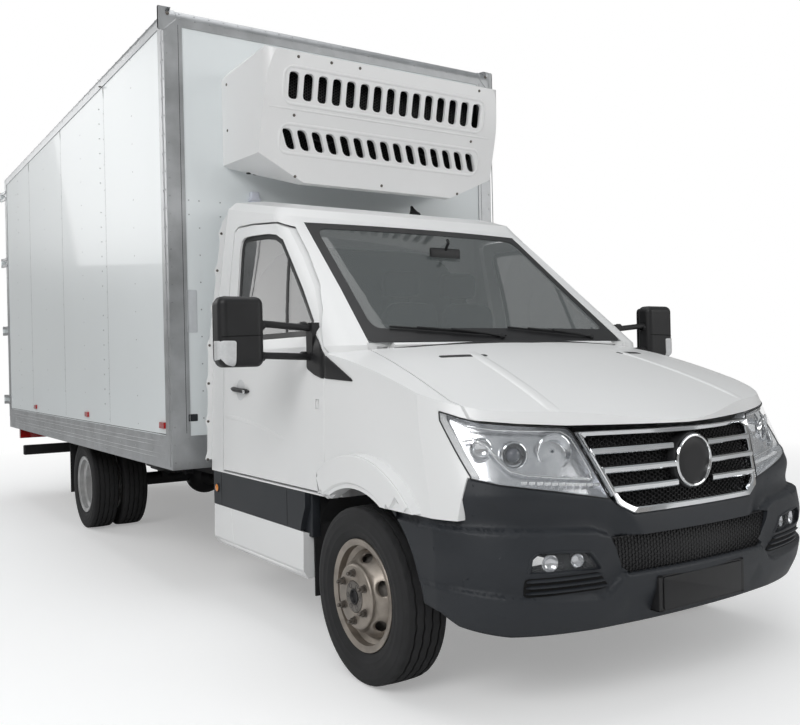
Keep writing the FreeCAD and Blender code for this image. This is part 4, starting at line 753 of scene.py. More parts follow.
for side_name, side in SIDES:
    front_wheel(side_name, side)
    form = Form()
    for across in spokes(6):
        foot = Vector((REAR_AXLE, side * 0.815, AXLE_Z)) + across * 0.102
        form.hexagon(foot + Vector((0, side * 0.012, 0)), (0, side, 0), 0.026, 0.02)
        form.lathe([(0.030, 0.0072), (0.044, 0.0072), (0.046, 0.005), (0.046, 0)], foot, (0, side, 0), 12)
    form.make("rear_nuts_" + side_name, "nut", side_name + "_rear_wheels", slot="wheel_rear", angle=30)
    rims = Form()
    rims.lathe([(0.0815, 0.221), (0.0835, 0.2225), (0.0855, 0.2205), (0.0845, 0.214), (0.0825, 0.212)],
               (REAR_AXLE, side * REAR_OUTER_Y, AXLE_Z), (0, side, 0), 96)
    rims.make("rear_rim_lip_" + side_name, "rim_rear", side_name + "_rear_wheels")


# Front end

BUMPER = skin("bumper")
GRILLE_OUTER = whole([(0.330, 0.706), (0.399, 0.744), (0.404, 0.768), (0.488, 1.003)])
GRILLE_INNER = whole([(0.314, 0.735), (0.372, 0.763), (0.388, 0.792), (0.452, 0.981)])


def frame_bar(form, surface, outer, inner, height, count=160):
    """A rounded bright frame between two front outlines."""
    outer, way = seen_from("front", outer)
    inner, way = seen_from("front", inner)
    rows = []
    for o, i in zip(spaced(outer, count), spaced(inner, count)):
        front = lay(surface, o.lerp(i, 0.45), way)[0].x
        row = []
        for t, up in ((0.0, -0.020), (0.0, -0.001), (0.06, height * 0.6), (0.16, height), (0.70, height),
                      (0.84, height * 0.6), (0.90, -0.004), (1.0, -0.020), (1.0, -0.046)):
            spot = o.lerp(i, t)
            row.append((front + up, spot.y, spot.z))
        rows.append(row)
    form.grid(rows, closed=True)


def honeycomb(form, outline, face, cell, wall=0.16, depth=0.006):
    """A plate of six-sided holes inside a front outline; face gives its x for (y, z)."""
    low_y, high_y = min(p[0] for p in outline), max(p[0] for p in outline)
    low_z, high_z = min(p[1] for p in outline), max(p[1] for p in outline)

    def inside(y, z):
        found = False
        for (y0, z0), (y1, z1) in zip(outline, outline[1:] + outline[:1]):
            if (z0 > z) != (z1 > z) and y < (y1 - y0) * (z - z0) / (z1 - z0) + y0:
                found = not found
        return found

    step_y, step_z = cell * 1.5, cell * math.sqrt(3) / 2
    row = 0
    z = low_z
    while z < high_z:
        y = low_y + (step_y if row % 2 else 0)
        while y < high_y:
            if inside(y, z):
                x = face(y, z)
                rims = []
                for scale, back in ((1.0, 0), (1.0 - wall, 0), (1.0 - wall, depth)):
                    rims.append([(x - back, y + cell * scale * c, z + cell * scale * s) for c, s in turns(6)])
                form.grid(rims, around=True)
            y += step_y * 2
        z += step_z
        row += 1


def across_nose(back, outline):
    """A function for the nose's x at (y, z), set back, from a few laid points."""
    ys = [k * 0.05 for k in range(-10, 11)]
    low = min(p[1] for p in outline)
    high = max(p[1] for p in outline)
    zs = [low + (high - low) * k / 6 for k in range(7)]
    table = [[nose_x(y, z) - back for z in zs] for y in ys]

    def face(y, z):
        a = min(len(ys) - 1.001, max(0, (y + 0.5) / 0.05))
        b = min(len(zs) - 1.001, max(0, (z - low) / (high - low) * 6))
        i, j = int(a), int(b)
        s, t = a - i, b - j
        return ((table[i][j] * (1 - s) + table[i + 1][j] * s) * (1 - t)
                + (table[i][j + 1] * (1 - s) + table[i + 1][j + 1] * s) * t)

    return face


RIM = skin("grille")


def nose_x(y, z):
    """The nose's outer surface over the grille or the intake, from what surrounds them."""
    if z > 0.69:
        top = lay_front(RIM, y, 0.992)[0].x
        foot_z = 0.72 if abs(y) < 0.30 else 0.72 + (abs(y) - 0.30) * 0.5
        foot = lay_front(RIM, min(0.32, max(-0.32, y)), 0.719)[0].x - abs(max(0, abs(y) - 0.32)) * 0.2
        t = (z - foot_z) / (0.992 - foot_z)
        bow = 0.012 * (1 - (2 * t - 1) ** 2)
        return foot + (top - foot) * t + bow
    top = lay_front(BUMPER, y, 0.645)[0].x
    foot = lay_front(BUMPER, y, 0.495)[0].x
    t = (z - 0.495) / 0.150
    return foot + (top - foot) * t


frame_form = Form()
frame_bar(frame_form, RIM, GRILLE_OUTER, GRILLE_INNER, 0.009)
boss_x, boss_z = FRONT_AXLE + 0.822, 0.874
for mid_z, reach in ((0.935, 0.452), (0.868, 0.426), (0.800, 0.402)):
    for side in (1, -1):
        rows = []
        for k in range(13):
            y = 0.099 + (reach - 0.099) * k / 12
            x = nose_x(side * y, mid_z) - 0.004
            rows.append([(x + a, side * y, mid_z - 0.004 * k / 12 + b) for a, b in
                         ((-0.045, 0.013), (-0.008, 0.0135), (-0.001, 0.0115), (0.003, 0.006), (0.003, -0.0075),
                          (-0.001, -0.0115), (-0.008, -0.013), (-0.045, -0.013))])
        frame_form.loft(rows)
frame_form.lathe([(-0.004, 0.101), (0.003, 0.1005), (0.007, 0.0975), (0.008, 0.094), (0.006, 0.090), (0.001, 0.088),
                  (-0.004, 0.087)], (boss_x + 0.004, 0, boss_z), (1, 0, 0), 72)
frame_form.make("grille_frame", "chrome", angle=32, replaces=("grille",))

boss = Form()
boss.lathe([(-0.085, 0.107), (-0.010, 0.107), (-0.004, 0.105), (-0.001, 0.101), (-0.001, 0.090), (0.001, 0.086),
            (0.0035, 0.050), (0.0045, 0.0)], (boss_x + 0.002, 0, boss_z), (1, 0, 0), 72)
boss.make("grille_boss", "black", angle=32)

mesh_form = Form()
face = across_nose(0.036, GRILLE_INNER)
honeycomb(mesh_form, shrink(GRILLE_INNER, 0.002), face, 0.0100)
mesh_form.make("grille_mesh", "black", smooth=False)
back_form = Form()
rows = []
for k in range(17):
    z = 0.712 + 0.284 * k / 16
    reach = 0.335 + (0.462 - 0.335) * min(1, max(0, (z - 0.735) / 0.25))
    rows.append([(face(y, z) - 0.012, y, z) for y in (reach * (2 * c / 24 - 1) for c in range(25))])
back_form.grid(rows)
back_form.make("grille_back", "pit")

INTAKE = whole([(0.385, 0.508), (0.450, 0.633)])
face = across_nose(0.012, INTAKE)
intake_form = Form()
honeycomb(intake_form, shrink(INTAKE, 0.003), face, 0.0100)
intake_form.make("intake_honeycomb", "black", smooth=False)


LAMP_DEPTH = 0.055


def headlamp_pieces(side_name, side):
    """Lens, silver housing, projector, reflector, indicator and light strip of one lamp."""
    shown = nodes["headlamps"]
    work = bmesh.new()
    work.from_mesh(shown.data)
    bmesh.ops.transform(work, matrix=shown.matrix_world, verts=work.verts)
    bmesh.ops.remove_doubles(work, verts=work.verts, dist=0.0001)
    drop = [f for f in work.faces if f.normal.x < 0.12 or f.calc_center_median().y * side < 0]
    bmesh.ops.delete(work, geom=drop, context="FACES")
    loose = [v for v in work.verts if not v.link_faces]
    bmesh.ops.delete(work, geom=loose, context="VERTS")
    mesh = bpy.data.meshes.new("lens_" + side_name)
    work.to_mesh(mesh)
    lens = present(mesh, "lens_" + side_name, "lens", replaces=("headlamps",))
    thick = lens.modifiers.new("thick", "SOLIDIFY")
    thick.thickness = 0.003
    thick.offset = -1

    def place(vert, depth):
        pull = Vector((0.80, 0.60 * side, 0)) * depth
        return Vector(vert.co) - pull

    rim_edges = [e for e in work.edges if e.is_boundary]
    bowl = Form()
    index = {v: i for i, v in enumerate(work.verts)}
    bowl.verts = [place(v, LAMP_DEPTH) for v in work.verts]
    bowl.faces = [tuple(index[v] for v in f.verts) for f in work.faces]
    for e in rim_edges:
        a, b = e.verts
        base = len(bowl.verts)
        bowl.verts += [place(a, 0.004), place(b, 0.004), place(b, LAMP_DEPTH), place(a, LAMP_DEPTH)]
        bowl.faces.append((base, base + 1, base + 2, base + 3))
    bowl.make("lamp_housing_" + side_name, "reflector", angle=50)
    tree = BVHTree.FromBMesh(work)

    def at(y, z, depth):
        hit = tree.ray_cast(Vector((AHEAD, side * y, z)), FROM_FRONT)[0]
        if hit is None:
            hit = tree.find_nearest(Vector((FRONT_AXLE + 0.7, side * y, z)))[0]
        return hit - Vector((depth, 0, 0))

    facing = Vector((0.93, 0.36 * side, 0)).normalized()
    lamp = Form()
    eye = at(0.715, 0.930, 0.045)
    lamp.lathe([(-0.020, 0.050), (0.004, 0.050), (0.010, 0.048), (0.012, 0.044), (0.008, 0.041), (-0.004, 0.0385),
                (-0.020, 0.037)], eye, facing, 48)
    bowl_place = at(0.560, 0.935, 0.055)
    lamp.lathe([(0.022, 0.066), (0.024, 0.062), (0.010, 0.056), (-0.006, 0.044), (-0.016, 0.026), (-0.018, 0.0)],
               bowl_place, facing, 48)
    winker = at(0.815, 0.955, 0.048)
    lamp.lathe([(0.014, 0.042), (0.016, 0.038), (0.004, 0.032), (-0.006, 0.018), (-0.008, 0.0)], winker, facing, 36)
    lamp.make("lamp_rings_" + side_name, "chrome", angle=40)
    dark = Form()
    dark.lathe([(0.000, 0.038), (0.006, 0.033), (0.004, 0.029), (-0.002, 0.027), (-0.01, 0.0)], eye, facing, 40)
    dark.make("projector_shade_" + side_name, "gloss_black")
    ball = Form()
    ball.lathe([(-0.004, 0.027), (0.006, 0.025), (0.014, 0.018), (0.018, 0.010), (0.019, 0.0)], eye, facing, 40)
    ball.lathe([(-0.016, 0.006), (0.004, 0.006), (0.008, 0.004), (0.009, 0.0)], bowl_place, facing, 20)
    ball.make("projector_glass_" + side_name, "dark_glass")
    strip = Form()
    for path, count, depth, radius in (
            ([(0.862, 0.985), (0.835, 0.990), (0.800, 0.965), (0.778, 0.915), (0.752, 0.878), (0.700, 0.862),
              (0.600, 0.850), (0.490, 0.838), (0.430, 0.830)], 60, 0.030, 0.0065),
            ([(0.840, 1.035), (0.760, 1.020), (0.640, 1.012), (0.530, 1.005), (0.500, 0.985), (0.462, 0.900),
              (0.436, 0.835)], 50, 0.022, 0.005)):
        line = spaced([(y, z, 0) for y, z in path], count, closed=False)
        strip.tube([at(p.x, p.y, depth) for p in line], radius, 10)
    strip.make("lamp_swoosh_" + side_name, "chrome")
    beads = Form()
    for k in range(11):
        t = k / 10
        spot = at(0.720 - 0.280 * t, 0.838 - 0.024 * t, 0.026)
        beads.block(spot - Vector((0.006, 0.010, 0.0055)), spot + Vector((0.006, 0.010, 0.0055)), 0.002)
    beads.make("lamp_strip_" + side_name, "bulb")
    seal = Form()
    for e in rim_edges:
        a, b = (v.co - Vector((0.001, 0, 0)) for v in e.verts)
        if (b - a).length > 1e-5:
            seal.tube([a, b], 0.0026, 6)
    seal.make("lamp_seal_" + side_name, "black")
    work.free()


for side_name, side in SIDES:
    headlamp_pieces(side_name, side)


LEDGE = [(1.20, 0.692), (0.789, 0.677), (0.515, 0.662), (0.450, 0.640), (0.415, 0.590), (0.385, 0.500),
         (0.372, 0.494), (0.0, 0.494)]
CHIN = [(1.20, 0.492), (0.977, 0.481), (0.799, 0.453), (0.501, 0.427), (0.455, 0.440), (0.400, 0.493),
        (0.0, 0.493)]


def above(line, y, z):
    """The distance of (y, z) from a line, negative below it."""
    best = None
    for (y0, z0), (y1, z1) in zip(line, line[1:]):
        length = (y1 - y0) ** 2 + (z1 - z0) ** 2
        t = min(1, max(0, ((y - y0) * (y1 - y0) + (z - z0) * (z1 - z0)) / length))
        dy, dz = y - (y0 + t * (y1 - y0)), z - (z0 + t * (z1 - z0))
        gap = math.hypot(dy, dz)
        cross = (y1 - y0) * (z - z0) - (z1 - z0) * (y - y0)
        if best is None or gap < best[0]:
            best = (gap, -cross)
    return best[0] if best[1] > 0 else -best[0]


def smooth(t):
    """Rises softly from 0 to 1."""
    t = min(1, max(0, t))
    return t * t * (3 - 2 * t)


def bumper_relief():
    """The bumper with its two folded ledges."""
    shown = nodes["bumper"]
    work = bmesh.new()
    work.from_mesh(shown.data)
    bmesh.ops.transform(work, matrix=shown.matrix_world, verts=work.verts)
    bmesh.ops.remove_doubles(work, verts=work.verts, dist=0.0001)
    for _ in range(6):
        long_edges = [e for e in work.edges if e.calc_length() > 0.015]
        if not long_edges:
            break
        bmesh.ops.subdivide_edges(work, edges=long_edges, cuts=1, use_grid_fill=False)
        bmesh.ops.triangulate(work, faces=work.faces)
    for v in work.verts:
        y, z = abs(v.co.y), v.co.z
        if v.co.x < FRONT_AXLE + 0.26:
            continue
        d = above(LEDGE, y, z)
        back = 0.0
        if d > 0:
            back = 0.034 * smooth(d / 0.013) * (1 - smooth((d - 0.03) / 0.10))
        else:
            e = above(CHIN, y, z)
            if e > 0:
                back = 0.022 * smooth(e / 0.012) * (1 - smooth((e - 0.02) / 0.12))
            else:
                back = 0.014 * smooth((-e - 0.05) / 0.10)
        inward = Vector((-0.9, -0.43 * (1 if v.co.y > 0 else -1) * smooth((y - 0.4) / 0.4), 0))
        v.co += inward * back
    mesh = bpy.data.meshes.new("bumper_folded")
    work.to_mesh(mesh)
    work.free()
    present(mesh, "bumper_folded", "dark", angle=30, replaces=("bumper",))


bumper_relief()


def fog_pieces():
    """The bezels, the slats under the fog lamps, their reflectors, and the blank plate on the chin."""
    folded = skin_of(bpy.data.objects["bumper_folded"])
    slats, pits, glow = Form(), Form(), Form()
    fog = skin("fog_lamps")
    for side in (1, -1):
        bed = [(side * a, b) for a, b in soft2([(0.778, 0.524), (0.505, 0.524), (0.452, 0.468), (0.480, 0.458),
                                                (0.775, 0.458)], 0.012)]
        cover(pits, folded, "front", bed, lift=0.002, count=80, soft=0.0)
        for z, low_y, high_y in ((0.515, 0.492, 0.772), (0.493, 0.474, 0.770), (0.471, 0.460, 0.768)):
            rows = []
            for k in range(17):
                y = low_y + (high_y - low_y) * k / 16
                place, normal = lay_front(folded, side * y, z)
                thin = 1 if 0 < k < 16 else 0.3
                rows.append([place + normal * a + Vector((0, 0, b * thin)) for a, b in
                             ((-0.004, 0.0065), (0.007, 0.0060), (0.011, 0.0035), (0.010, -0.0010), (0.006, -0.0040),
                              (-0.004, -0.0050))])
            slats.loft(rows)
        ring = [(side * a, b) for a, b in soft2([(0.499, 0.536), (0.767, 0.545), (0.758, 0.591), (0.733, 0.609),
                                                 (0.545, 0.595)], 0.01)]
        starts, way = seen_from("front", ring)
        starts = spaced(starts, 90)
        middle = sum(starts, Vector((0, 0, 0))) / len(starts)
        rows = []
        for p in starts:
            out = (p - middle).normalized()
            edge = lay(folded, p + out * 0.010, way)[0]
            rows.append([(edge.x + a, p.y + out.y * b, p.z + out.z * b) for a, b in
                         ((-0.004, 0.013), (0.003, 0.010), (0.004, 0.005), (0.001, 0.001), (-0.016, -0.001))])
        slats.grid(rows, closed=True)
        for y, radius in ((0.690, 0.030), (0.585, 0.024)):
            place = lay_front(fog, side * y, 0.570)[0]
            glow.lathe([(-0.020, 0.0), (-0.018, radius * 0.5), (-0.008, radius * 0.85), (-0.002, radius),
                        (-0.0015, radius * 0.96)], place, (0.95, 0.3 * side, 0), 32)
    slats.make("fog_slats", "dark")
    pits.make("fog_pits", "pit")
    glow.make("fog_reflectors", "reflector")
    plate = Form()
    front = 3.8655
    corners = soft2([(-0.222, 0.352), (0.222, 0.352), (0.222, 0.468), (-0.222, 0.468)], 0.008)
    plate.prism([(front - 0.006, a, b) for a, b in corners], (0.005, 0, 0), 0.0015)
    for y0, z0, y1, z1 in ((-0.245, 0.345, 0.245, 0.352), (-0.245, 0.468, 0.245, 0.475),
                           (-0.245, 0.345, -0.222, 0.475), (0.222, 0.345, 0.245, 0.475)):
        plate.block((front - 0.050, y0, z0), (front - 0.005, y1, z1), 0.002)
    plate.make("blank_plate", "black")


fog_pieces()


# Cab

WINDOW = [(-1.325, 1.392), (-0.472, 1.392), (-0.436, 1.412), (-0.462, 1.461), (-0.629, 1.614), (-0.802, 1.764),
          (-0.947, 1.889), (-1.022, 1.922), (-1.110, 1.938), (-1.283, 1.948), (-1.348, 1.946), (-1.370, 1.928),
          (-1.375, 1.885), (-1.337, 1.638)]


def dx(points):
    """Side-view pairs measured from the front axle."""
    return [(FRONT_AXLE + a, b) for a, b in points]


for side_name, side in SIDES:
    door = side_name + "_door"
    glass = skin("door_glass_" + side_name)
    panel = skin("door_" + side_name)
    pane = dx(soft2(WINDOW, 0.012))
    form = Form()
    band(form, glass, side_name, shrink(pane, 0.002), soft2(shrink(pane, 0.027), 0.02), lift=0.0016, count=140)
    form.make("window_surround_" + side_name, "black", door)
    form = Form()
    ridge(form, glass, side_name, dx([(-0.868, 1.838), (-0.722, 1.402)]), 0.014, 0.004)
    form.make("window_divider_" + side_name, "black", door)

    # The pull handle in its round dish; the dish's darker grey is painted shade of its hollow
    form = Form()
    cover(form, panel, side_name, dx(circle(-1.204, 1.145, 0.054, 40, 0.98)), lift=0.0012, count=48)
    form.make("handle_dish_" + side_name, "shade", door)
    form = Form()
    rows = []
    for k in range(25):
        t = k / 24
        x = FRONT_AXLE - 1.300 + 0.205 * t
        z = 1.150 - 0.012 * t
        place, normal = lay_side(panel, side, x, z)
        half = 0.0155 * (0.72 + 0.28 * abs(2 * t - 1) ** 1.5) * math.sqrt(max(0.02, 1 - abs(2 * t - 1) ** 6))
        proud = 0.018 + 0.012 * (1 - (2 * t - 1) ** 2)
        rows.append([place + normal * (proud * 0.5 + proud * 0.5 * c - 0.002) + Vector((0, 0, half * s))
                     for c, s in turns(12)])
    form.loft(rows)
    form.make("door_handle_" + side_name, "black", door)
    form = Form()
    place, normal = lay_side(panel, side, FRONT_AXLE - 1.118, 1.136)
    form.lathe([(0.020, 0.009), (0.026, 0.009), (0.027, 0.007), (0.0265, 0.003), (0.0255, 0)], place, normal, 24)
    form.make("door_lock_" + side_name, "chrome", door)

    # Folded lines in the door and the black quarter panels at its front
    form = Form()
    ridge(form, panel, side_name, dx([(-1.40, 1.004), (-1.24, 0.998), (-1.05, 0.982), (-0.86, 0.955),
                                      (-0.70, 0.925)]), 0.012, 0.0035)
    form.make("door_crease_" + side_name, "white", door)
    form = Form()
    cover(form, panel, side_name, dx(soft2([(-0.470, 1.440), (-0.352, 1.350), (-0.318, 1.300), (-0.318, 1.203),
                                            (-0.400, 1.222), (-0.470, 1.250)], 0.012)), lift=0.007, count=72)
    form.make("mirror_foot_" + side_name, "black", door)
    outer = skin("wings", "cab_shell")
    form = Form()
    cover(form, outer, side_name, dx(soft2([(-0.298, 1.305), (-0.298, 1.206), (-0.085, 1.194),
                                            (-0.094, 1.204)], 0.006)), lift=0.005, count=64)
    form.make("quarter_panel_" + side_name, "black")

    # Mirror: glass towards the driver, lamp in the lower corner, shell seam and arm joints
    head = skin("mirror_" + side_name)
    low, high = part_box("mirror_" + side_name)
    form = Form()
    y0, y1 = 1.205, 1.372
    outline = soft2([(y0, 1.285), (y1, 1.285), (y1, 1.540), (y0, 1.540)], 0.022)
    back_x = low[0]
    form.prism([(back_x + 0.001, side * a, b) for a, b in outline], (-0.004, 0, 0), 0.0012)
    form.make("mirror_glass_" + side_name, "mirror", door)
    form = Form()
    rim_out = soft2([(y0 - 0.008, 1.277), (y1 + 0.008, 1.277), (y1 + 0.008, 1.548), (y0 - 0.008, 1.548)], 0.028)
    rows = []
    for a, b in zip(spaced([(p, q, 0) for p, q in rim_out], 72),
                    spaced([(p, q, 0) for p, q in outline], 72)):
        rows.append([(back_x + 0.004, side * a.x, a.y), (back_x - 0.006, side * a.x, a.y),
                     (back_x - 0.007, side * (a.x + b.x) / 2, (a.y + b.y) / 2),
                     (back_x - 0.004, side * b.x, b.y), (back_x + 0.002, side * b.x, b.y)])
    form.grid(rows, closed=True)
    arm_x = (low[0] + high[0]) / 2
    for z in (1.437, 1.306):
        for y, radius in ((1.187, 0.021), (0.985, 0.019)):
            form.lathe([(-0.014, radius * 0.86), (-0.010, radius), (0.010, radius), (0.014, radius * 0.86),
                        (0.016, 0.010)], (FRONT_AXLE - 0.450, side * y, z), (0, side, 0), 20)
    form.make("mirror_trim_" + side_name, "black", door)
    form = Form()
    cover(form, head, "front", [(side * a, b) for a, b in
                                soft2([(1.318, 1.372), (1.384, 1.372), (1.384, 1.300), (1.362, 1.275),
                                       (1.322, 1.266)], 0.012)], lift=0.004, count=56)
    cover(form, head, side_name, soft2([(arm_x - 0.040, 1.372), (high[0] - 0.012, 1.372), (high[0] - 0.012, 1.296),
                                        (arm_x - 0.020, 1.290)], 0.01), lift=0.0015, count=48)
    form.make("mirror_lamp_" + side_name, "bulb", door)
    form = Form()
    ridge(form, head, "front", [(side * 1.20, 1.395), (side * 1.30, 1.392), (side * 1.384, 1.388)], 0.003, 0.0015, 24)
    form.make("mirror_seam_" + side_name, "pit", door)

    # Dark band on the sill, its joints, the amber lamp and the rolled skirt edge
    sill = skin("cladding")
    form = Form()
    for joint in (-1.452, -0.662):
        ridge(form, sill, side_name, dx([(joint, 0.534), (joint, 0.700)]), 0.0022, 0.0008, 16)
    form.make("band_joints_" + side_name, "pit")
    form = Form()
    place, normal = lay_side(sill, side, FRONT_AXLE - 1.508, 0.616)
    form.lathe([(-0.001, 0.024), (0.004, 0.024), (0.006, 0.0225), (0.006, 0.0205)], place, normal, 36)
    form.make("side_lamp_rim_" + side_name, "dark")
    form = Form()
    form.lathe([(0.000, 0.0205), (0.0062, 0.0200), (0.0090, 0.0160), (0.0102, 0.0090), (0.0105, 0)],
               place, normal, 36)
    form.make("side_lamp_" + side_name, "amber")
    form = Form()
    skirt = skin("steps")
    ridge(form, skirt, side_name, dx([(-1.540, 0.330), (-1.20, 0.330), (-0.520, 0.330)]), 0.012, 0.006)
    ridge(form, skirt, side_name, dx([(-1.330, 0.520), (-1.306, 0.400), (-1.286, 0.345)]), 0.004, 0.002)
    form.make("skirt_edge_" + side_name, "white")

    # The raised lip of the wheel arch
    form = Form()
    wing = skin("wings")
    rows = []
    for k in range(65):
        angle = math.radians(46 + (150 - 46) * k / 64)
        row = []
        for radius, up in ((0.557, -0.003), (0.551, 0.003), (0.530, 0.007), (0.470, 0.010), (0.448, 0.009),
                           (0.441, 0.003), (0.440, -0.010)):
            point = Vector((FRONT_AXLE + radius * math.cos(angle), side * 3, AXLE_Z + radius * math.sin(angle)))
            hold = Vector((FRONT_AXLE + max(0.446, radius) * math.cos(angle), side * 3,
                           AXLE_Z + max(0.446, radius) * math.sin(angle)))
            place = lay(wing, hold, (0, -side, 0))[0]
            row.append((point.x, place.y + side * up, point.z))
        rows.append(row)
    form.grid(rows)
    form.make("arch_lip_" + side_name, "white", angle=24)

    # Caps over the hinge pockets
    form = Form()
    for z in (0.815, 1.095):
        rows = []
        for k in range(9):
            x = FRONT_AXLE - 0.362 + 0.054 * k / 8
            over = lay_side(panel, side, x, z + 0.042)[0].y
            under = lay_side(panel, side, x, z - 0.042)[0].y
            rim = 0 if 0 < k < 8 else 0.0015
            rows.append([(x, (over + (under - over) * c / 8) + side * ((0.0012 if 0 < c < 8 else -0.001) - rim),
                          z + 0.038 - 0.076 * c / 8) for c in range(9)])
        form.grid(rows)
    form.make("hinge_caps_" + side_name, "white", door)

    # The dark return behind the band, beside the mud flap
    form = Form()
    form.block((FRONT_AXLE - 0.560, side * 0.930 - 0.022, 0.500),
               (FRONT_AXLE - 0.470, side * 0.930 + 0.022, 0.704), 0.006)
    form.make("band_return_" + side_name, "dark")

    # The black liner inside the wheel arch
    form = Form()
    rows = []
    for k in range(41):
        angle = math.radians(22 + (150 - 22) * k / 40)
        row = []
        for radius, y in ((0.452, 0.955), (0.456, 0.900), (0.456, 0.640), (0.440, 0.612), (0.300, 0.602)):
            row.append((FRONT_AXLE + radius * math.cos(angle), side * y,
                        max(AXLE_Z + radius * math.sin(angle), 0.0)))
        rows.append(row)
    form.grid(rows)
    form.make("arch_liner_" + side_name, "pit_plastic", angle=50)

    # Door trim inside
    form = Form()
    card = soft2([(-1.37, 0.95), (-0.42, 0.95), (-0.42, 1.24), (-0.52, 1.36), (-1.33, 1.36)], 0.05)
    starts = seen_from("right" if side > 0 else "left", dx(card))[0]
    starts = spaced([Vector((p.x, 0, p.z)) for p in starts], 72)
    middle = sum(starts, Vector((0, 0, 0))) / len(starts)
    rows = []
    for p in starts:
        row = []
        for t, up in ((0, 0.0), (0.02, 0.010), (0.2, 0.014), (0.45, 0.014), (0.7, 0.012), (1, 0.012)):
            spot = p.lerp(middle, t)
            place = lay(panel, spot, (0, side, 0))[0]
            row.append(place + Vector((0, -side * up, 0)))
        rows.append(row)
    form.grid(rows, closed=True)
    form.make("door_card_" + side_name, "interior", door)

# Windscreen border, wipers and inner mirror
SCREEN = skin("windscreen")
form = Form()
outer = soft2(whole([(0.776, 1.357), (0.736, 1.613), (0.689, 1.987)]), 0.03)
inner = soft2(whole([(0.716, 1.418), (0.690, 1.600), (0.645, 1.955)]), 0.05)
band(form, SCREEN, "front", outer, inner, lift=0.0014, count=200, cuts=4)
form.make("screen_border", "black")

form = Form()
for foot, tip, start in (((-0.075, 1.375), (-0.640, 1.420), (-0.100, 1.352)),
                         ((0.505, 1.372), (-0.020, 1.415), (0.520, 1.350))):
    line = [Vector((AHEAD, *(f + (t - f) * k / 14 for f, t in zip(foot, tip)))) for k in range(15)]
    blade = [lay(SCREEN, p, FROM_FRONT, 0.010)[0] for p in line]
    form.tube(blade, 0.005, 8)
    form.tube([lay(SCREEN, p, FROM_FRONT, 0.016)[0] for p in line[3:12]], 0.005, 8)
    hub = lay_front(SCREEN, start[0], start[1] + 0.022, 0.006)[0]
    mid = lay(SCREEN, line[7], FROM_FRONT, 0.020)[0]
    form.tube([hub, hub.lerp(mid, 0.3) + Vector((0.004, 0, 0.003)),
               hub.lerp(mid, 0.75) + Vector((0.003, 0, 0.002)), mid], 0.0065, 10)
    form.lathe([(-0.02, 0.015), (0.005, 0.015), (0.009, 0.012), (0.010, 0)], hub, (0.75, 0, 0.66), 20)
form.make("wiper_set", "black", replaces=("wipers",))

form = Form()
form.block((FRONT_AXLE - 0.742, -0.095, 1.795), (FRONT_AXLE - 0.722, 0.095, 1.862), 0.008)
form.tube([(FRONT_AXLE - 0.728, 0, 1.850), (FRONT_AXLE - 0.700, 0, 1.885), (FRONT_AXLE - 0.708, 0, 1.905)], 0.008, 10)
form.make("inner_mirror", "black")

# Aerial fin on the roof
roof = skin("cab_shell")
place = lay(roof, (FRONT_AXLE - 1.46, 0.30, ABOVE), FROM_TOP)[0]
form = Form()
rows = []
for length, half, z in ((0.075, 0.020, -0.006), (0.070, 0.018, 0.006), (0.052, 0.010, 0.016), (0.026, 0.0045, 0.040),
                        (0.016, 0.003, 0.056), (0.006, 0.001, 0.060)):
    shift = -0.020 * z / 0.06
    rows.append([place + Vector((shift + length * c * (1.0 if c > 0 else 0.55), half * s, z)) for c, s in turns(20)])
form.grid(rows, around=True)
form.fill(rows[-1])
form.make("aerial_fin", "black")

# The flange between cab and box, with its screws
form = Form()
half_path = []
for k in range(30):
    z = 0.76 + (2.06 - 0.76) * k / 29
    half_path.append((abs(lay(roof, (1.42, -3, z), (0, 1, 0))[0].y), z, 0))
for k in range(14):
    y = 0.80 - 0.80 * k / 13
    half_path.append((y, lay(roof, (1.42, -y, ABOVE), FROM_TOP)[0].z, 0))
half_path = spaced(half_path, 150, closed=False)
outward = []
for i in range(150):
    along = (half_path[min(i + 1, 149)] - half_path[max(i - 1, 0)]).normalized()
    outward.append(Vector((along.y, -along.x, 0)))
for side in (-1, 1):
    rows = []
    for i, (p, out) in enumerate(zip(half_path, outward)):
        lobe = 0.012 * max(0, math.cos(2 * math.pi * i / 14)) ** 3
        near, far = p - out * 0.012, p + out * (0.020 + lobe)
        rows.append([(1.396, side * near.x, near.y), (1.397, side * far.x, far.y), (1.3945, side * far.x, far.y),
                     (1.391, side * near.x, near.y)])
    form.loft(rows)
form.make("cab_flange", "white")
form = Form()
for i in range(0, 150, 14):
    spot = half_path[i] + outward[i] * 0.017
    for side in (-1, 1):
        form.dome((1.397, side * spot.x, spot.y), (1, 0, 0), 0.0075, 0.004, 12)
form.make("flange_screws", "nut")

# Bonnet: two folded lines and two vents
HOOD = skin("bonnet")
form = Form()
for side in (-1, 1):
    ridge(form, HOOD, "top", [(FRONT_AXLE + 0.02, side * 0.43), (FRONT_AXLE + 0.40, side * 0.50),
                              (FRONT_AXLE + 0.66, side * 0.54)], 0.030, 0.0045, 40)
form.make("bonnet_folds", "white", "bonnet_lid", angle=60)
form = Form()
outline = soft2([(0.020, 0.600), (0.078, 0.392), (0.105, 0.400), (0.048, 0.606)], 0.008)
for side in (-1, 1):
    cover(form, HOOD, "top", [(FRONT_AXLE + a, side * b) for a, b in outline], lift=0.0016, count=48)
form.make("bonnet_vents", "black", "bonnet_lid")


# Box, cooler and cab interior

WALL = skin("box_front_wall", "box_frame")
FRAME = skin("box_frame")
SIDE_SKIN = skin("box_sides", "box_frame")


def rivet_row(form, surface, way, start, end, pitch, radius, height):
    """Rivet heads at an even pitch along a line, laid on a surface."""
    start, end = Vector(start), Vector(end)
    count = max(1, int((end - start).length / pitch))
    for k in range(count + 1):
        place, normal = lay(surface, start.lerp(end, k / count), way)
        form.dome(place, normal, radius, height)


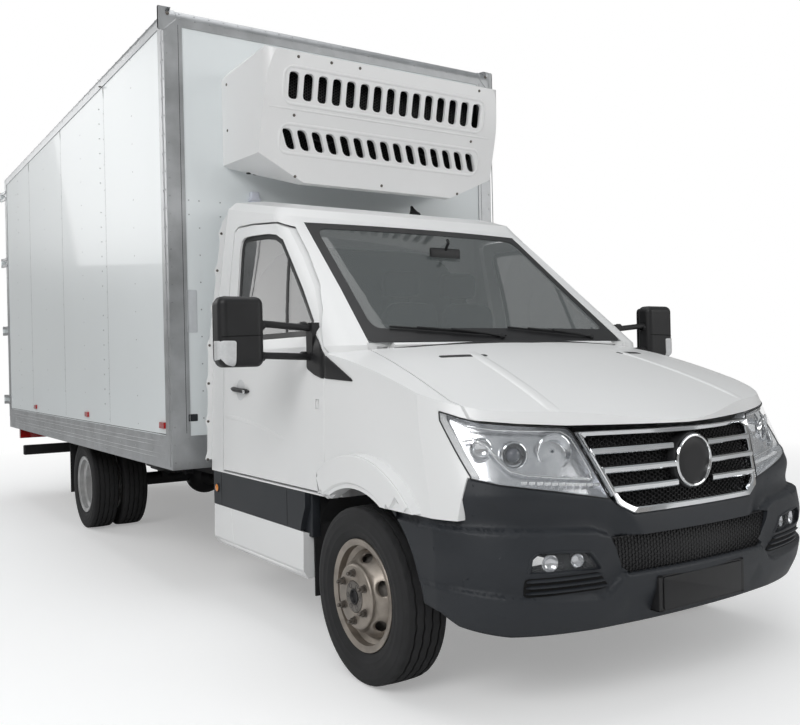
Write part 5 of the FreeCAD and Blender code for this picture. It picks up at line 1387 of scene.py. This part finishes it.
rivets = Form()
for upright, places, low, high, pitch, radius, height in (
        (True, (-1.170, -1.128, 1.128, 1.170), 0.74, 3.20, 0.095, 0.0055, 0.0028),
        (False, (3.235, 3.205), -1.05, 1.05, 0.085, 0.0050, 0.0026),
        (False, (0.735, 0.870), -1.05, 1.05, 0.10, 0.0050, 0.0026),
        (True, (-0.96, -0.48, 0.48, 0.96), 0.98, 2.20, 0.15, 0.0045, 0.0022),
        (False, (2.12, 2.20), -1.02, 1.02, 0.17, 0.0045, 0.0022)):
    for at in places:
        ends = [(3, at, low), (3, at, high)] if upright else [(3, low, at), (3, high, at)]
        rivet_row(rivets, WALL, FROM_FRONT, *ends, pitch, radius, height)
for side in (1, -1):
    way = Vector((0, -side, 0))
    for z in (0.725, 0.795, 0.868, 3.205, 3.238):
        rivet_row(rivets, FRAME, way, (BOX_REAR + 0.10, side * 3, z), (BOX_FRONT - 0.02, side * 3, z),
                  0.32 if z == 0.795 else 0.16, 0.0052, 0.0026)
    for x in (BOX_FRONT - 0.018, BOX_FRONT - 0.058, BOX_REAR + 0.070):
        rivet_row(rivets, SIDE_SKIN, way, (x, side * 3, 0.92), (x, side * 3, 3.17), 0.10, 0.0052, 0.0026)
    for k in range(1, 8):
        x = BOX_FRONT - BOX_LENGTH * k / 8
        rivet_row(rivets, SIDE_SKIN, way, (x, side * 3, 0.93), (x, side * 3, 3.15), 0.17, 0.0042, 0.0018)
for y in (-1.155, 1.155):
    rivet_row(rivets, FRAME, Vector((1, 0, 0)), (-6, y, 0.86), (-6, y, 3.20), 0.12, 0.005, 0.0026)
rivets.make("box_rivets", "rivet", angle=40)

ribs = Form()
for side_name, side in SIDES:
    for z in (0.752, 0.776, 0.820, 0.845):
        ridge(ribs, FRAME, side_name, [(BOX_REAR + 0.12, z), (BOX_FRONT - 0.04, z)], 0.0035, 0.0018, 30)
    x = BOX_FRONT - 0.038
    ridge(ribs, SIDE_SKIN, side_name, [(x, 0.715), (x, 3.20)], 0.003, 0.0018, 30)
for side in (-1, 1):
    ribs.tube([Vector((BOX_FRONT - 0.0005, side * 1.160, z)) for z in (0.72, 1.50, 2.30, 3.12)], 0.003, 8)
ridge(ribs, WALL, "front", [(-1.05, 0.800), (1.05, 0.800)], 0.004, 0.0018, 30)
ribs.make("rail_ribs", "alu", angle=60)

seams = Form()
for side_name, side in SIDES:
    ridge(seams, SIDE_SKIN, side_name, [(BOX_REAR + 0.08, 0.892), (BOX_FRONT - 0.075, 0.892)], 0.0020, 0.0006, 30)
    for k in range(1, 4):
        x = BOX_FRONT - BOX_LENGTH * k / 4 + 0.012
        ridge(seams, SIDE_SKIN, side_name, [(x, 0.91), (x, 3.17)], 0.0012, 0.0005, 24)
for side in (-1, 1):
    ridge(seams, WALL, "front", [(side * 1.062, 0.90), (side * 1.062, 3.17)], 0.0016, 0.0006, 24)
seams.make("panel_seams", "pit")

caps = Form()
for side in (1, -1):
    outline = soft2([(side * 1.182, 3.262), (side * 1.075, 3.262), (side * 1.075, 3.200), (side * 1.150, 3.130),
                     (side * 1.182, 3.130)], 0.012)
    cover(caps, WALL, "front", [(a * 0.995, b - 0.004) for a, b in outline], lift=0.0035, count=56)
caps.make("corner_caps", "alu", angle=40)
bolts = Form()
for side in (-1, 1):
    for a, b in ((1.120, 3.222), (1.158, 3.160)):
        place, normal = lay(WALL, Vector((3, side * a, b)), FROM_FRONT, 0.003)
        bolts.dome(place, normal, 0.011, 0.006, 16)
bolts.make("corner_bolts", "nut")

for name, finish, y0, y1, z0, z1, count in (("placard", "placard", -1.045, -0.985, 1.46, 1.70, 48),
                                            ("small_plate", "dark", -1.050, -0.995, 0.965, 1.005, 40)):
    label = Form()
    cover(label, WALL, "front", soft2([(y0, z0), (y1, z0), (y1, z1), (y0, z1)], 0.004), lift=0.0014, count=count)
    label.make(name, finish)

# Cooler: dark core behind the slots, moulded line, screws, drain holes and the conduit down the wall
SHELL = skin("cooler")
low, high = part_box("cooler")
form = Form()
core_x = high[0] - 0.125
honeycomb(form, [(-0.665, 2.655), (0.665, 2.655), (0.665, 2.865), (-0.665, 2.865)],
          lambda y, z: core_x, 0.0095, 0.2, 0.004)
honeycomb(form, [(-0.665, 2.40), (0.665, 2.40), (0.665, 2.585), (-0.665, 2.585)],
          lambda y, z: core_x - 0.21 + (z - 2.40) * 0.75, 0.0095, 0.2, 0.004)
form.make("cooler_core", "black", smooth=False)
form = Form()
form.block((core_x - 0.016, -0.70, 2.645), (core_x - 0.008, 0.70, 2.875), 0.002)
form.prism([(core_x - 0.222, -0.70, 2.39), (core_x - 0.070, -0.70, 2.59), (core_x - 0.076, -0.70, 2.594),
            (core_x - 0.228, -0.70, 2.394)], (0, 1.40, 0), 0.001)
form.make("cooler_core_back", "pit")
form = Form()
ridge(form, SHELL, "front", [(-0.79, 2.640), (0.79, 2.640)], 0.006, 0.003, 40)
reach = 0.672
for z0, z1 in ((2.668, 2.852), (2.418, 2.562)):
    ring = soft2([(-reach, z0), (reach, z0), (reach, z1), (-reach, z1)], 0.05)
    starts, way = seen_from("front", ring)
    starts = spaced(starts, 150)
    rows = []
    middle = Vector((AHEAD, 0, (z0 + z1) / 2))
    for p in starts:
        row = []
        for t, up in ((0.014, -0.002), (0.008, 0.0035), (0.0, 0.0045), (-0.006, 0.001), (-0.010, -0.002)):
            away = Vector((0, p.y, p.z - middle.z))
            away.y = math.copysign(min(1, max(0, abs(p.y) - reach + 0.06) / 0.06), p.y)
            away.z = math.copysign(1 if abs(p.z - middle.z) > (z1 - z0) / 2 - 0.004 else 0, p.z - middle.z)
            spot = p + away.normalized() * t if away.length else p
            place, normal = lay(SHELL, spot, way)
            row.append(place + normal * up)
        rows.append(row)
    form.grid(rows, closed=True)
form.make("cooler_mouldings", "cooler", angle=60)
form = Form()
for y, z in ((-0.60, 2.905), (-0.40, 2.905), (-0.22, 2.905), (0.62, 2.905), (-0.56, 2.300), (0.0, 2.300),
             (0.55, 2.300), (0.60, 2.61), (-0.60, 2.61)):
    place, normal = lay_front(SHELL, y, z)
    form.dome(place, normal, 0.0085, 0.004, 14)
for side in (-1, 1):
    for z in (2.36, 2.60, 2.86):
        place, normal = lay_side(SHELL, side, BOX_FRONT + 0.06, z)
        form.dome(place, normal, 0.0085, 0.004, 14)
form.make("cooler_screws", "nut")
form = Form()
for y in (-0.700, -0.660, -0.605):
    place = lay(SHELL, (BOX_FRONT + 0.10, y, 1.0), (0, 0, 1))[0]
    form.lathe([(-0.001, 0.016), (0.003, 0.0155), (0.004, 0.012), (-0.0005, 0.010), (-0.0005, 0)],
               place, (0, 0, -1), 24)
form.make("drain_grommets", "black")
form = Form()
form.block((BOX_FRONT - 0.004, -0.655, 1.30), (BOX_FRONT + 0.030, -0.605, 2.275), 0.005)
for z in (1.62, 1.95, 2.22):
    form.block((BOX_FRONT - 0.004, -0.663, z), (BOX_FRONT + 0.033, -0.597, z + 0.018), 0.003)
form.make("conduit", "conduit")

# Dark hoses under the box's front
form = Form()
HOSES = (([(0.02, 0.60, 0.74), (0.05, 0.66, 0.66), (0.03, 0.70, 0.56), (-0.05, 0.66, 0.50), (-0.16, 0.55, 0.50)],
          0.014),
         ([(0.02, 0.68, 0.74), (0.06, 0.74, 0.64), (0.02, 0.78, 0.52), (-0.07, 0.72, 0.46), (-0.16, 0.58, 0.47)],
          0.011))
for side in (-1, 1):
    for path, radius in HOSES:
        form.tube([(BOX_FRONT + a, side * b, c) for a, b, c in path], radius, 12)
form.make("air_hoses", "rubber")

# Seats: padded cushions and backs, rounded and crowned, with sewn channels
SQUARENESS = 2 / 5.0


def power(value):
    """Pulls a circle's sine or cosine towards a rounded square's."""
    return math.copysign(abs(value) ** SQUARENESS, value)


def pad(name, centre, size, lean, crown, channels, replaces=()):
    """A crowned cushion: a rounded box whose faces swell and whose seams pull in."""
    form = Form()
    half = Vector(size) / 2
    count = 28
    rows = []
    for i in range(count + 1):
        v = -math.pi / 2 + math.pi * i / count
        row = []
        for c, s in turns(count * 2):
            x = power(math.cos(v)) * power(c)
            y = power(math.cos(v)) * power(s)
            z = power(math.sin(v))
            swell = 1 + crown * (1 - x * x) * (1 - y * y)
            groove = sum(math.exp(-((y - channel) / 0.035) ** 2) for channel in channels)
            z = z * (swell - 0.10 * groove * (1 if z > 0 else 0))
            row.append(Vector((x * half.x, y * half.y, z * half.z)))
        rows.append(row)
    form.grid(rows, around=True)
    turn = Matrix.Rotation(math.radians(lean), 4, "Y")
    form.verts = [turn @ v + Vector(centre) for v in form.verts]
    piece = form.make(name, "fabric", angle=80, replaces=replaces)


FLOOR = 0.765
BENCH = FRONT_AXLE - 1.0
for label, y0, y1 in (("driver", -0.64, -0.17), ("middle", -0.06, 0.34), ("near", 0.36, 0.76)):
    mid = (y0 + y1) / 2
    wide = y1 - y0
    pad("cushion_" + label, (BENCH - 0.050, mid, FLOOR + 0.262), (0.47, wide - 0.02, 0.115), 0, 0.10,
        (-0.62, 0.62), ("seats",))
    pad("backrest_" + label, (BENCH - 0.308, mid, FLOOR + 0.575), (0.56, wide - 0.03, 0.095), -81, 0.14,
        (-0.62, 0.62))
    pad("headrest_" + label, (BENCH - 0.370, mid, FLOOR + 0.968), (0.155, 0.25, 0.075), -86, 0.10, ())
    form = Form()
    form.block((BENCH - 0.255, y0 + 0.055, FLOOR + 0.003), (BENCH + 0.135, y1 - 0.055, FLOOR + 0.215), 0.014)
    for side in (-1, 1):
        form.tube([(BENCH - 0.368, mid + side * 0.055, FLOOR + rise) for rise in (0.80, 0.95)], 0.006, 10)
    form.make("seat_base_" + label, "interior")

# Dark trim on the cab's rear wall
form = Form()
rows = []
for k in range(21):
    z = 0.82 + (1.98 - 0.82) * k / 20
    half = 0.90 if z < 1.25 else 0.90 - (z - 1.25) * 0.27
    steps = [2 * c / 20 - 1 for c in range(21)]
    rows.append([(BOX_FRONT + 0.1955 + 0.010 * (1 - t ** 8), half * t, z) for t in steps])
form.grid(rows)
form.make("rear_trim", "interior")
